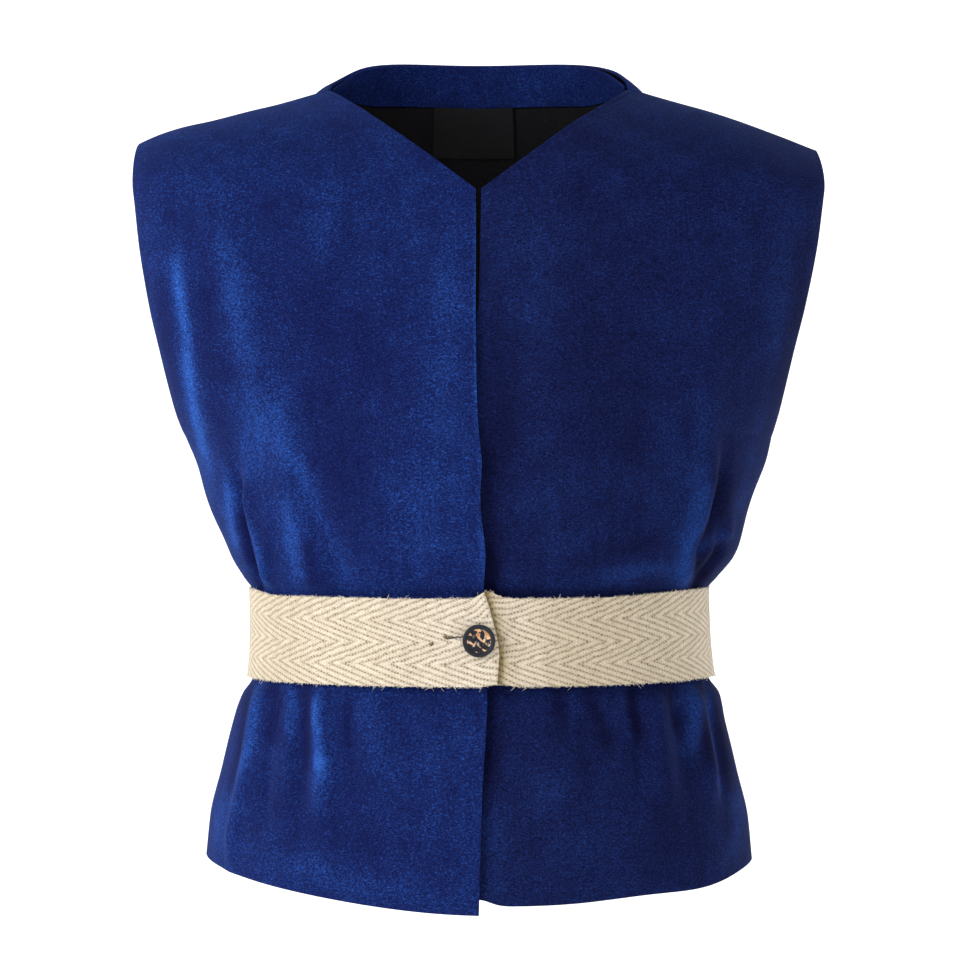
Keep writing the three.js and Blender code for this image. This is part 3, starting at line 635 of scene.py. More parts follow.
LEFT_STROKES = [
    (3.4, -1.0, [(4, -222), (4.5, -240), (4.5, -262)]),
    (9.0, -0.35, [(9, -110), (10, -150), (10, -200)]),
    (2.1, 0.5, [
        (114, -191), (112, -200.7), (108.3, -209), (104, -216), (100, -224), (98.6, -232),
        (99, -240), (100.3, -250),
    ]),
    (5, 0.62, [(102, -180), (104.7, -200), (101.7, -212), (97.5, -222), (96.6, -234), (96.6, -250)]),
    (5, 0.28, [(106, -146), (105, -184)]),
    (5.5, -0.8, [(117, -186), (114.6, -206), (110.6, -216.8), (106.4, -226)]),
    (2.6, 0.42, [(102.5, -236), (107.6, -228), (114.9, -222.7), (123, -221)]),
    (4, -1.0, [(103.4, -243), (109, -234.8), (120, -229)]),
    (3.4, -0.9, [(104, -251), (107.6, -244), (114, -238)]),
    (4.5, 0.32, [(138, -156), (135, -176), (129.5, -200), (124, -214)]),
    (4.2, 0.46, [(52, -246), (67.4, -239.5), (78.3, -236.6), (90.8, -237.4), (98, -241)]),
    (6, -0.26, [(34, -236), (62, -229), (88, -226)]),
    (15, 0.2, [(26, -186), (36, -216), (46, -240)]),
    (24, -0.18, [(66, -100), (60, -150), (56, -190)]),
    (13, 0.2, [(22, -56), (26, -90), (24, -130)]),
    (9, 0.22, [(150, -46), (146, -96), (140, -150)]),
    (5, -0.35, [(158, -72), (152, -118), (146, -156)]),
    (9, 0.2, [(84, -136), (90, -176), (94, -204)]),
    (6, -0.5, [(4, -168), (4, -251)]),
    (7, -0.6, [(4, -288), (4, -344)]),
    (7, 0.24, [(8, -346), (7, -398)]),
    (3.2, -0.45, [(35.7, -290), (38.3, -310)]),
    (3.6, -0.5, [(49.8, -290), (56.8, -310), (62.5, -325)]),
    (3, 0.36, [(68.4, -290), (70.6, -306), (75, -322)]),
    (3.2, -0.85, [(71.8, -289), (74, -306), (79, -321)]),
    (3.6, -0.6, [(89.4, -289), (92.9, -305), (98.8, -317)]),
    (3.4, 0.3, [(96.6, -290), (99, -306)]),
    (3.4, 0.7, [(103.4, -288), (104.2, -312), (103.8, -330)]),
    (3.8, -0.75, [(108, -288), (108.9, -312), (110.2, -334)]),
    (2.4, 0.85, [(112.3, -290), (114, -314), (115, -330), (116.8, -350)]),
    (3, -0.65, [(116.8, -294), (119, -319), (121.6, -346)]),
    (5, 0.5, [(125, -344), (126.8, -362), (121, -381)]),
    (18, 0.14, [(30, -326), (40, -356), (52, -384)]),
    (14, -0.12, [(84, -346), (100, -362), (106, -372)]),
]
BACK_STROKES = [
    (9, 0.45, [(-124, -80), (-116, -130), (-104, -176), (-94, -244)]),
    (5, -0.55, [(-88, -190), (-80, -216), (-75, -248)]),
    (9, 0.4, [(-52, -160), (-54, -200), (-56, -246)]),
    (7, -0.45, [(-16, -186), (-14, -214), (-12, -248)]),
    (9, 0.42, [(24, -174), (28, -210), (30, -246)]),
    (6, -0.55, [(68, -196), (63, -220), (59, -248)]),
    (9, 0.5, [(116, -92), (108, -150), (98, -196), (88, -246)]),
    (6, 0.5, [(-102, -294), (-105, -320), (-112, -352)]),
    (5, -0.6, [(-71, -294), (-73, -314), (-77, -338)]),
    (7, 0.42, [(-37, -294), (-38, -324), (-41, -358)]),
    (5, -0.5, [(-1, -294), (1, -314), (3, -336)]),
    (7, 0.44, [(39, -294), (42, -322), (45, -352)]),
    (5, -0.6, [(69, -294), (72, -314), (76, -340)]),
    (6, 0.48, [(97, -294), (101, -322), (107, -356)]),
    (22, 0.18, [(-4, 14), (2, -20), (6, -70)]),
    (28, -0.2, [(-50, -50), (0, -90), (36, -140)]),
]


print("strokes:", len(RIGHT_STROKES) + len(LEFT_STROKES) + len(BACK_STROKES))

# Where a stroke fades at its upper and lower end, as shares of its length.
FADE_IN = (-0.02, 0.3)
FADE_OUT = (-0.12, 0.22)


def painted_light_tones(rows, x, z):
    tone = np.zeros_like(x)
    for width, strength, points in rows:
        lengths = [math.dist(a, b) for a, b in zip(points, points[1:])]
        nearest = np.full(x.shape, np.inf)
        place = np.zeros_like(x)
        run = 0.0
        for (from_x, from_z), (to_x, to_z), length in zip(points, points[1:], lengths):
            part_x, part_z = (to_x - from_x) / length, (to_z - from_z) / length
            t = np.clip((x - from_x) * part_x + (z - from_z) * part_z, 0, length)
            away = np.hypot(x - from_x - part_x * t, z - from_z - part_z * t)
            closer = away < nearest
            nearest = np.where(closer, away, nearest)
            place = np.where(closer, run + t, place)
            run += length
        fade = ease(place / run, *FADE_IN) * ease(1 - place / run, *FADE_OUT)
        tone += strength * fade * np.exp(-((nearest / width) ** 2))
    return np.clip(tone, -1, 1)


# %% [markdown]
# ## Long soft undulations
# Heavy velvet never hangs perfectly even. A few long waves of well under a millimetre, at
# angles that do not repeat, break the light on the broad panels as the real cloth does.

# %% Waves and seams
# Each wave: its run along x and z in radians for each millimetre, its phase, its height.
WAVES = [
    (0.034, 0.011, 0.4, 0.55),
    (0.052, -0.02, 2.1, 0.4),
    (0.021, 0.047, 4.0, 0.4),
    (0.083, 0.03, 1.2, 0.22),
    (-0.07, 0.062, 5.1, 0.2),
]
WAVES_START = (24, 60)
SEAM_SINK = 0.55
SEAM_WIDTH = 1.6
SEAM_TOP_Z = -165
STEEPEST = 0.25
EDGE_STITCH_IN = 3.6
EDGE_STITCH_WIDTH = 0.7
EDGE_STITCH_SINK = 0.35

# Each shift: x and z of its middle, its reach along x and z, how far it moves x and z.
SHIFTS = [
    (-158, -30, 22, 16, -1.7, 2.5),
    (108, -14, 24, 20, 0.0, 0.8),
    (-132, -16, 16, 14, 0.0, -0.8),
    (165, -32, 16, 16, 0.0, -1.4),
    (-71, 11, 10, 9, 0.0, -2.0),
    (-75, -394, 60, 44, 0.0, 2.1),
    (112, -388, 26, 40, 0.0, -3.4),
    (0, -229, 900, 14, 2.0, 0.0),
    (0, -135, 900, 52, -1.1, 0.0),
    (0, -186, 900, 12, 1.4, 0.0),
    (-128, -358, 16, 34, 1.3, 0.0),
    (128, -358, 16, 34, -1.2, 0.0),
    (-114, -300, 14, 10, 1.2, 0.0),
    (114, -300, 14, 10, 1.2, 0.0),
]


def wave_depths(x, y, z):
    depth = np.zeros_like(x)
    for run_x, run_z, phase, height in WAVES:
        depth += height * np.sin(run_x * (x + 0.6 * y) + run_z * z + phase)
    return depth * ease(np.abs(z - BELT_MID_Z), *WAVES_START)


def shifted(points):
    """The same cloth after it has settled a little unevenly, so that no side mirrors the other."""
    moved = points.copy()
    for x, z, reach_x, reach_z, move_x, move_z in SHIFTS:
        away_x = (points[..., 0] - x) / reach_x
        away_z = (points[..., 2] - z) / reach_z
        share = np.exp(-(away_x**2) - away_z**2)
        moved[..., 0] += share * move_x
        moved[..., 2] += share * move_z
    return moved


def unit(vectors):
    return vectors / np.linalg.norm(vectors, axis=-1, keepdims=True)


def grid_normals(points, facing):
    """Outward directions at the places of a grid."""
    across = np.gradient(points, axis=0)
    up = np.gradient(points, axis=1)
    return unit(np.cross(across, up)) * -facing


def cloth_grid(half, us, vs):
    """Folded cloth on a grid of u and v, in millimetres, with its painted highlights and shade."""
    u, v = np.meshgrid(us, vs, indexing="ij")
    points = surface(half["panel"], u, v, half["past"])
    normals = grid_normals(points, half["panel"]["facing"])
    run = np.linalg.norm(np.gradient(points, us, axis=0), axis=-1)
    slant = np.maximum(STEEPEST, unit(np.gradient(points, us, axis=0))[..., 0])
    from_seam = (1 - u) * run
    from_edge = u * run
    settled = shifted(points * (half["side"], 1, 1))
    x = settled[..., 0] * (half["side"] if half["panel"]["facing"] < 0 else 1)
    z = settled[..., 2]
    hold = ease(from_seam, 0, SEAM_HOLD)
    depth = fold_depths(half["folds"], x, z, slant) * hold
    depth += fold_depths(half["fine"], x, z, slant) * hold
    depth += wave_depths(half["side"] * points[..., 0], points[..., 1], z) * ease(from_seam, 0, 30)
    side_seam = np.exp(-((from_seam / SEAM_WIDTH) ** 2)) * ease(SEAM_TOP_Z - z, 0, 4)
    rise = np.linalg.norm(np.gradient(points, vs, axis=1), axis=-1)
    from_top = (2 - v) * rise
    on_shoulder = 1.0 if half["panel"]["facing"] < 0 else ease(u, NECK_SHARE, NECK_SHARE + 0.03)
    shoulder_seam = np.exp(-((from_top / SEAM_WIDTH) ** 2)) * on_shoulder
    depth -= SEAM_SINK * np.maximum(side_seam, shoulder_seam)
    if half["panel"]["facing"] < 0:
        line = (from_edge - EDGE_STITCH_IN) / EDGE_STITCH_WIDTH
        depth -= EDGE_STITCH_SINK * np.exp(-line * line)
    points = points + normals * depth[..., None]
    if half.get("tucked"):
        share = 1 - ease(points[..., 0], TUCK_FULL_X, TUCK_END_X)
        points[..., 1] += share * along_column(TUCK, "depth", "z", points[..., 2])
    if half.get("corner"):
        away = np.hypot(from_edge, v * (CHEST_TOP_Z - HEM_Z)) / CORNER_REACH
        points[..., 2] += half["corner"] * np.exp(-away * away)
    tones = painted_light_tones(half["strokes"], x, z)
    points[..., 0] *= half["side"]
    return shifted(points), tones


CORNER_REACH = 7


def past(table):
    return lambda z: along_column(table, "past", "z", z)


LEFT_HEM_RISE = 4.0
LEFT_ROWS = {name: values.copy() for name, values in FRONT["rows"].items()}
LEFT_ROWS["in_z"][0] += LEFT_HEM_RISE
CENTRE = named(EDGE_COLUMNS, [(HEM_Z, 0), (CHEST_TOP_Z, 0)])

RIGHT_FRONT = {
    "panel": FRONT, "side": -1, "folds": RIGHT_FOLDS, "fine": FINE_RIGHT,
    "past": past(RIGHT_EDGE), "strokes": RIGHT_STROKES,
}
LEFT_FRONT = {
    "panel": {**FRONT, "rows": LEFT_ROWS}, "side": 1, "folds": LEFT_FOLDS, "fine": FINE_LEFT,
    "past": past(LEFT_EDGE), "strokes": LEFT_STROKES, "tucked": True, "corner": 3.0,
}
BACK_RIGHT = {
    "panel": BACK, "side": -1, "folds": BACK_FOLDS, "fine": FINE_BACK, "past": past(CENTRE),
    "strokes": BACK_STROKES,
}
BACK_LEFT = {**BACK_RIGHT, "side": 1}
print("waves:", len(WAVES), "shifts:", len(SHIFTS))

# %% [markdown]
# ## From a grid to cloth
# A grid primitive has the right mesh for woven cloth, because its rows and columns run as
# warp and weft do. Its vertices are moved to the surface, and a Solidify modifier gives the
# wall its thickness, with the lining's material inside. A small bevel rounds the turned edge.

# %% Sheets
def finish_object(piece, node):
    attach(piece, "root")
    if node:
        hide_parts(node)


def grid_sheet(name, points, pattern=None, tones=None):
    """A grid primitive whose vertices lie on points, in metres, with a map in metres."""
    columns, rows = points.shape[0], points.shape[1]
    bpy.ops.object.select_all(action="DESELECT")
    bpy.ops.mesh.primitive_grid_add(
        x_subdivisions=columns - 1, y_subdivisions=rows - 1, size=2, location=(0, 0, 0)
    )
    piece = bpy.context.object
    piece.name = name
    mesh = piece.data
    flat = np.empty(len(mesh.vertices) * 3)
    mesh.vertices.foreach_get("co", flat)
    flat = flat.reshape(-1, 3)
    i = np.rint((flat[:, 0] + 1) / 2 * (columns - 1)).astype(int)
    j = np.rint((flat[:, 1] + 1) / 2 * (rows - 1)).astype(int)
    mesh.vertices.foreach_set("co", (points[i, j] * MM).ravel())
    if pattern is None:
        across = np.linalg.norm(np.diff(points, axis=0), axis=-1).mean(axis=1)
        up = np.linalg.norm(np.diff(points, axis=1), axis=-1).mean(axis=0)
        s = np.concatenate([[0], np.cumsum(across)])
        t = np.concatenate([[0], np.cumsum(up)])
        pattern = np.stack(np.meshgrid(s, t, indexing="ij"), axis=-1)
    corner = np.empty(len(mesh.loops), dtype=int)
    mesh.loops.foreach_get("vertex_index", corner)
    layer = mesh.uv_layers[0] if mesh.uv_layers else mesh.uv_layers.new(name="cloth")
    layer.name = "cloth"
    layer.data.foreach_set("uv", (pattern[i, j] * MM)[corner].ravel())
    if tones is not None:
        mesh.attributes.new(PAINTED_LIGHT_AND_SHADE, "FLOAT", "POINT").data.foreach_set("value", tones[i, j].ravel())
    mesh.update()
    return piece


def apply_modifiers(piece):
    bpy.ops.object.select_all(action="DESELECT")
    piece.select_set(True)
    bpy.context.view_layer.objects.active = piece
    for modifier in list(piece.modifiers):
        bpy.ops.object.modifier_apply(modifier=modifier.name)


def thicken(piece, thick, outside, inside, outward, edge=0.0):
    """Give a sheet its thickness and its two materials. outward says which way it faces."""
    piece.data.materials.append(outside)
    piece.data.materials.append(inside)
    polygon = piece.data.polygons[len(piece.data.polygons) // 2]
    if polygon.normal.dot(Vector(outward)) < 0:
        piece.data.flip_normals()
    wall = piece.modifiers.new("wall", "SOLIDIFY")
    wall.thickness = thick * MM
    wall.offset = 0
    wall.use_even_offset = False
    wall.material_offset = 1
    wall.material_offset_rim = 0
    if edge:
        turned = piece.modifiers.new("turned_edge", "BEVEL")
        turned.width = edge * MM
        turned.segments = 3
        turned.limit_method = "ANGLE"
        turned.angle_limit = math.radians(50)
        turned.material = -1
    apply_modifiers(piece)
    bpy.ops.object.shade_smooth_by_angle(angle=math.radians(50))
    print(piece.name, "faces:", len(piece.data.polygons))


# %% [markdown]
# ## Where the rows and columns lie
# The edge of a front carries a line of stitching, so the columns crowd towards it. The walls
# have the same thickness as the solids, and the pieces keep the same gap at every seam.

# %% Grid places
def spread(count, near_edge):
    """Places from 0 to 1 that crowd towards 0, for the stitching of an edge."""
    t = np.linspace(0, 1, count)
    return near_edge * t + (1 - near_edge) * t * t


def heights(body, yoke):
    low = np.linspace(0, 1, body)
    return np.concatenate([low, 1 + np.linspace(0, 1, yoke)[1:]])


GAP = 0.3
FRONT_WALL = 2.0
BACK_WALL = 1.6
THIN_WALL = 1.0
FRONT_COLUMNS = 150
FRONT_HEIGHTS = heights(176, 56)
SEAM_INSET = GAP / 2 / 190

# %% [markdown]
# ## The two fronts
# Each front is cut in one piece from the hem to the shoulder seam. The wearer's right front
# lies on top at the waist, so the left one is tucked a few millimetres behind it there.


def make_front(name, half, cloth):
    columns = spread(FRONT_COLUMNS, 0.7)
    us = np.minimum(columns, 1 - SEAM_INSET)
    vs = np.minimum(FRONT_HEIGHTS, 2 - SEAM_INSET)
    points, tones = cloth_grid(half, us, vs)
    piece = grid_sheet(name + "_velvet", points, tones=tones)
    thicken(piece, FRONT_WALL, cloth, lining_cloth, (0, -1, 0), 0.7)
    finish_object(piece, name)


make_front("front_right", RIGHT_FRONT, velvet_right)
make_front("front_left", LEFT_FRONT, velvet_left)

# %% [markdown]
# ## The back, its facing and its lining
# The back is cut whole. Its upper edge is the back of the neck, finished inside by a band of
# the same velvet, and below that band hangs the black lining, looser than the velvet, so it
# does not follow the gathers.

# %% Back
def mirrored_grid(right, left, us, vs):
    points_left, tones_left = cloth_grid(left, us, vs)
    points_right, tones_right = cloth_grid(right, us, vs)
    points = np.concatenate([points_right[::-1], points_left[1:]])
    return points, np.concatenate([tones_right[::-1], tones_left[1:]])


def back_columns(count, end=1.0):
    neck = np.linspace(0, NECK_SHARE, int(count * NECK_SHARE))
    return np.concatenate([neck, np.linspace(NECK_SHARE, end, count - len(neck) + 1)[1:]])


back_us = np.minimum(back_columns(90), 1 - SEAM_INSET)
back_vs = np.minimum(heights(110, 50), 2 - SEAM_INSET)
back_points, back_tones = mirrored_grid(BACK_RIGHT, BACK_LEFT, back_us, back_vs)
back = grid_sheet("back_velvet", back_points, tones=back_tones)
thicken(back, BACK_WALL, velvet_back, lining_cloth, (0, 1, 0), 0.55)
finish_object(back, "back")

# %% [markdown]
# ## Inside the back
# The inner pieces lie on the unfolded back, moved inwards by the walls and gaps between.
# The lining also hangs a few millimetres loose where the velvet is gathered.

# %% Facing and lining places
INSIDE_GAP = 0.6
INSIDE_OFFSET = -(BACK_WALL / 2 + INSIDE_GAP + THIN_WALL / 2)
LABEL_WALL = 0.5
LABEL_OFFSET = INSIDE_OFFSET - (THIN_WALL / 2 + INSIDE_GAP + LABEL_WALL / 2)
FACING_LOW = 0.72
FACING_LOW_SIDE = 0.9
FACING_SIDE = 0.92
LINING_LOOSE = named(("z", "loose"), [
    (-386, 0), (-352, 3.6), (-300, 3.8), (-290, 2), (-254, 2), (-244, 3.8), (-196, 3.4),
    (-150, 0.2), (-57, 0.3), (-20, 0.6),
])


def facing_low(u):
    return FACING_LOW + (FACING_LOW_SIDE - FACING_LOW) * ease(u, 0.2, NECK_SHARE)


def inner_grid(across, shares, height_at, loose, offset):
    """Places on the unfolded back, moved inwards. height_at gives v for a share and a u."""
    calm = {**BACK_LEFT, "folds": [], "fine": []}
    side = np.sign(across) + (across == 0)
    u = np.abs(across)
    v = np.stack([height_at(share, u) for share in shares], axis=1)
    flat_u = np.repeat(u[:, None], len(shares), axis=1)
    points = surface(calm["panel"], flat_u, v, calm["past"])
    near = 1e-3
    around = surface(calm["panel"], np.minimum(1, flat_u + near), v, calm["past"])
    around -= surface(calm["panel"], np.maximum(0, flat_u - near), v, calm["past"])
    up = surface(calm["panel"], flat_u, np.minimum(2, v + near), calm["past"])
    up -= surface(calm["panel"], flat_u, np.maximum(0, v - near), calm["past"])
    normals = unit(np.cross(around, up)) * -1
    off = offset - loose(flat_u, points[..., 2])
    points = points + normals * off[..., None]
    points[..., 0] *= side[:, None]
    return shifted(points)


def lining_loose(u, z):
    return ease(1 - u, 0, 0.12) * along_column(LINING_LOOSE, "loose", "z", z)


# %% [markdown]
# ## Sewing in the lining, the facing and the label
# The lining stops just short of the facing, which takes over up to the edge of the neck. The
# label sits on the lining below the facing, a little towards the wearer's right.

# %% Lining, facing and label
LINING_HEM_Z = -380
LINING_LOW = (LINING_HEM_Z - BACK_HEM_Z) / (CHEST_TOP_Z - BACK_HEM_Z)
LINING_WALL = 0.6


LINING_SIDE = 0.97
LINING_TOP = 0.97
LINING_SEAM = 0.006


def lining_height(share, u):
    """v of the lining: to the top of the chest for shares up to 1, then to the facing."""
    top = facing_low(u) - LINING_SEAM * (1 + 5 * ease(u, 0.26, 0.36))
    top = top + (LINING_TOP - top) * ease(u, 0.44, 0.56)
    return np.where(share <= 1, LINING_LOW + (1 - LINING_LOW) * share, 1 + (share - 1) * top)


lining_across = np.linspace(-LINING_SIDE, LINING_SIDE, 141)
lining_shares = heights(61, 31)
lining_points = inner_grid(lining_across, lining_shares, lining_height, lining_loose, INSIDE_OFFSET)
lining = grid_sheet("back_lining_cloth", lining_points)
thicken(lining, LINING_WALL, lining_cloth, lining_cloth, (0, -1, 0))
finish_object(lining, "back_lining")

facing_across = np.linspace(-1, 1, 121) * NECK_SHARE * FACING_SIDE
facing_points = inner_grid(
    facing_across, np.linspace(0, 1, 17),
    lambda share, u: 1 + facing_low(u) + (1 - facing_low(u)) * share,
    lambda u, z: 1.1 * ease(u, 0.26, 0.36), INSIDE_OFFSET,
)
facing = grid_sheet("back_neck_facing_velvet", facing_points)
thicken(facing, THIN_WALL, velvet_back, velvet_back, (0, -1, 0), 0.3)
finish_object(facing, "back_neck_facing")

LABEL_LEFT, LABEL_RIGHT, LABEL_TOP, LABEL_LOW = -25.0, 19.0, 0.725, 0.4
label_run = float(surface(BACK, np.array([0.01]), np.array([1.5]))[0, 0]) / 0.01
label_points = inner_grid(
    np.linspace(LABEL_LEFT, LABEL_RIGHT, 45) / label_run, np.linspace(0, 1, 27),
    lambda share, u: 1 + LABEL_LOW + (LABEL_TOP - LABEL_LOW) * share + u * 0,
    lining_loose, LABEL_OFFSET,
)
label = grid_sheet("neck_label_cloth", label_points)
thicken(label, LABEL_WALL, label_cloth, label_cloth, (0, -1, 0), 0.12)
finish_object(label, "neck_label")

# %% [markdown]
# ## Herringbone tape
# The belt is an undyed linen tape in a broken twill. Its ribs climb at a shallow angle and
# turn back from band to band, in four bands, and between two ribs lies a row of dark pits.
# The pattern follows the tape's own map, so it runs round the waist without sliding.

# %% Tape material
BAND_WIDTH = 10.5 * MM
RIB_PERIOD = 8.2 * MM
RIB_SLOPE = 2.9
FLOAT_PERIOD = 1.85 * MM
TAPE_WIDTH = 42.0
TAPE_SHADE = colour(0.315, 0.262, 0.19)
TAPE_LIGHT = colour(0.625, 0.56, 0.465)
TAPE_DEEP = colour(0.13, 0.088, 0.045)
PAINTED_SHADE_BROWN = colour(0.29, 0.22, 0.065)
PAINTED_SHADE_DEEPEST = colour(0.05, 0.033, 0.018)


def tape_finish():
    finish = Finish("herringbone_tape", Roughness=0.92, Sheen_Weight=0.2, Sheen_Roughness=0.6,
                    Specular_IOR_Level=0.12)
    spot = finish.node("ShaderNodeUVMap", {"uv_map": "cloth"})
    along = finish.node("ShaderNodeSeparateXYZ", inputs={0: spot}, out=0)
    up = finish.node("ShaderNodeSeparateXYZ", inputs={0: spot}, out=1)
    shade = finish.node("ShaderNodeAttribute", {"attribute_name": PAINTED_LIGHT_AND_SHADE}, out="Fac")
    wander = finish.noise(230.0, 2.0) - 0.5
    uneven = finish.noise(620.0, 2.0, 0.6) - 0.5
    fine = finish.noise(1500.0, 3.0, 0.7) - 0.5
    along = along + wander * 0.0024 + uneven * 0.0009
    down = TAPE_WIDTH * MM - up + wander * 0.0012 + uneven * 0.0004
    fold = BAND_WIDTH - down.math("PINGPONG", BAND_WIDTH)
    rib = ((along - fold * RIB_SLOPE) / RIB_PERIOD).math("FRACT")
    valley = (rib - 0.5).math("ABSOLUTE") * 2.0
    groove = finish.remap(valley + uneven * 0.7 + fine * 0.9, 0.36, 0.95)
    beat = ((along + fold * 0.5) / FLOAT_PERIOD * 6.283).math("SINE") * 0.5 + 0.5
    dash = groove * finish.remap(beat + fine * 1.8 + uneven * 0.8, 0.42, 0.85)
    speck = finish.remap(fine + uneven * 0.6, 0.1, 0.22)
    tone = finish.remap(fine * 2.0 + wander * 0.5 + uneven * 0.5 + beat * 0.22 + 0.38, 0.05, 0.95)
    flax = finish.blend(tone, TAPE_SHADE, TAPE_LIGHT)
    dark = finish.remap(dash * 0.74 + groove * 0.32 + speck * 0.36, 0.05, 1.1, 0.0, 1.0)
    woven = finish.blend(dark, flax, TAPE_DEEP)
    # The tape's colour under painted shade; the attribute says how much of it each place gets.
    painted_shade_colour = finish.blend(dark, finish.blend(tone, TAPE_DEEP, PAINTED_SHADE_BROWN), PAINTED_SHADE_DEEPEST)
    finish.feed(Base_Color=finish.blend(shade, woven, painted_shade_colour))
    height = (1.0 - groove) * 0.8 - dash * 0.5 + fine * 0.9 + beat * 0.3
    finish.feed(Normal=finish.bump(height, 0.55, 0.0005))
    return finish.material


tape_cloth = tape_finish()
print("ribs round the waist, for each metre:", round(1 / RIB_PERIOD))

# %% [markdown]
# ## The belt
# One length of tape starts at the front under its own end, runs once round the waist and
# ends on top, where its raw end is turned under. The turn is modelled: the last stretch
# rolls back beneath itself, which gives the thick end with its shadow.

# %% Belt
BELT_WALL = 2.0
TAPE_THICK = 1.0
BELT_START = -0.13
BELT_STEP_FROM = 3.66
BELT_STEP_TO = 3.84
END_SHARES = (0, 0.1, 0.3, 0.45, 0.6, 0.8, 1)
END_TURNS = (4.038, 4.039, 4.043, 4.039, 4.032, 4.021, 4.008)
END_EDGE_X = (8.5, 8.6, 9.4, 8.6, 7.3, 5.2, 3.1)
TURNED_UNDER = 26
TURN_STEPS = 8
PINCH_X = (8.5, 8.6, 3.4)
PINCH_REACH_IN = 4.2
PINCH_REACH_OUT = 6.4

# How far a pull lifts the lower edge of the tape, and how much more it lifts the upper one.
PINCH_LIFT = (1.3, 2.1)
LEFT_LIFT = (0.6, 2.0)
RIGHT_LIFT = (0.2, 2.2)
LEFT_OUT = 2.0

# Painted shade on the lower layer beside the turned end: its reach and its strength.
END_SHADES = ((3.4, 1.3), (9.0, 0.45))

# Painted shade towards the sides: its strength, the side, and where it starts and is full.
SIDE_SHADES = ((0.34, 1, 12, 44), (0.14, -1, 14, 46), (0.3, -1, 66, 104))


def belt_section(turn, z):
    """Places on the unfolded body at the belt, with outward directions."""
    quarter = np.floor(turn).astype(int)
    onto = turn - quarter
    side = np.where(np.isin(quarter, (2, 3, -1)), -1.0, 1.0)
    on_back = np.isin(quarter, (1, 2))
    u = np.where(np.isin(quarter, (0, 2, 4)), onto, 1 - onto)
    points = np.zeros((len(turn), 3))
    normals = np.zeros((len(turn), 3))
    for panel, mask in ((FRONT, ~on_back), (BACK, on_back)):
        low = panel["rows"]["in_z"][0]
        v = np.full(len(turn), (z - low) / (CHEST_TOP_Z - low))
        near = 1e-3
        here = surface(panel, u, v)
        around = surface(panel, np.minimum(1, u + near), v)
        around -= surface(panel, np.maximum(0, u - near), v)
        up = surface(panel, u, v + near) - surface(panel, u, v - near)
        out = unit(np.cross(around, up)) * -panel["facing"]
        points[mask] = here[mask]
        normals[mask] = out[mask]
    points[:, 0] *= side
    normals[:, 0] *= side
    return points, normals


BELT_COLUMNS = 520
BELT_ROWS = 22


def belt_grid():
    """Places on the middle of the tape, once round and back beneath its own end."""
    lines = []
    for share in np.linspace(0, 1, BELT_ROWS):
        z = BELT_LOW_Z + (BELT_TOP_Z - BELT_LOW_Z) * share
        end = np.interp(share, END_SHARES, END_TURNS)
        turn = np.linspace(BELT_START, end, BELT_COLUMNS)
        points, normals = belt_section(turn, z)
        level = ease(turn, BELT_STEP_FROM, BELT_STEP_TO) * (BELT_WALL + GAP)
        outer = FRONT_WALL / 2 + GAP + BELT_WALL - TAPE_THICK / 2
        lift = outer + level
        main = points + normals * lift[:, None]
        run = unit(main[-1] - main[-2])
        out = normals[-1]
        drop = TAPE_THICK + 0.04
        turned = []
        for step in range(1, TURNED_UNDER + 1):
            if step <= TURN_STEPS:
                angle = np.pi * step / TURN_STEPS
                round_it = run * np.sin(angle) - out * (1 - np.cos(angle))
                place = main[-1] + round_it * drop / 2
            else:
                back_along = -1 - (step - TURN_STEPS)
                place = main[back_along] - normals[back_along] * drop
            turned.append(place)
        lines.append(np.concatenate([main, np.array(turned)]))
    return pulled(np.stack(lines, axis=1), np.linspace(0, 1, BELT_ROWS)[None, :])


def pulled(grid, shares):
    """The button pinches the tape at its end, and the tape rides up on both sides."""
    x, y = grid[..., 0], grid[..., 1]
    end_x = np.interp(shares, (0, 0.5, 1), PINCH_X)
    reach = np.where(x < end_x, PINCH_REACH_IN, PINCH_REACH_OUT)
    pinch = np.exp(-(((x - end_x) / reach) ** 2)) * (y < 0)
    front = 1 - ease(y, 6, 46)
    left = ease(x, 55, 112) * front
    right = ease(-x, 98, 116) * front
    for pull, (low, more) in ((pinch, PINCH_LIFT), (left, LEFT_LIFT), (right, RIGHT_LIFT)):
        grid[..., 2] += pull * (low + more * shares)
    grid[..., 0] += left * (1 - shares) * LEFT_OUT
    return grid


def painted_tape_shade(grid):
    """How much shade is painted on the tape: beside its turned end, and a little towards both sides.
    """
    x, z = grid[..., 0], grid[..., 2]
    edge_x = np.interp((z - BELT_LOW_Z) / (BELT_TOP_Z - BELT_LOW_Z), END_SHARES, END_EDGE_X)
    past_edge = x - edge_x
    under = (np.arange(grid.shape[0]) < grid.shape[0] // 4)[:, None]
    beyond = np.maximum(0, past_edge)
    near, far = [
        strength * np.exp(-((beyond / reach) ** 2)) * (past_edge > -6)
        for reach, strength in END_SHADES
    ]
    side = sum(strength * ease(x * way, low, high) for strength, way, low, high in SIDE_SHADES)
    shade = np.where(under, np.maximum(near, far), 0) + side
    return np.clip(shade, 0, 1)


belt_points = belt_grid()
belt_steps = np.linalg.norm(np.diff(belt_points[:, 11], axis=0), axis=-1)
belt_run = np.concatenate([[0], np.cumsum(belt_steps)])
belt_heights = np.linspace(0, TAPE_WIDTH, belt_points.shape[1])
belt_map = np.stack(np.meshgrid(belt_run, belt_heights, indexing="ij"), axis=-1)
belt = grid_sheet("belt_tape", belt_points, belt_map, painted_tape_shade(belt_points))
thicken(belt, TAPE_THICK, tape_cloth, tape_cloth, (0, 1, 0), 0.25)
finish_object(belt, "belt")

# %% [markdown]
# ## Loose fibres on the tape
# Linen is hairy, and the edges of a cheap tape fray a little. Each fibre is a thin bent strand
# with three sides. They start at random places along the two edges, and all of them are one
# light mesh, because thousands of hairs would be slow as separate objects.

# %% Fibres
FIBRE_COUNT = 3200
FIBRE_REACH = (0.5, 1.5)
FIBRE_RADIUS = 0.1


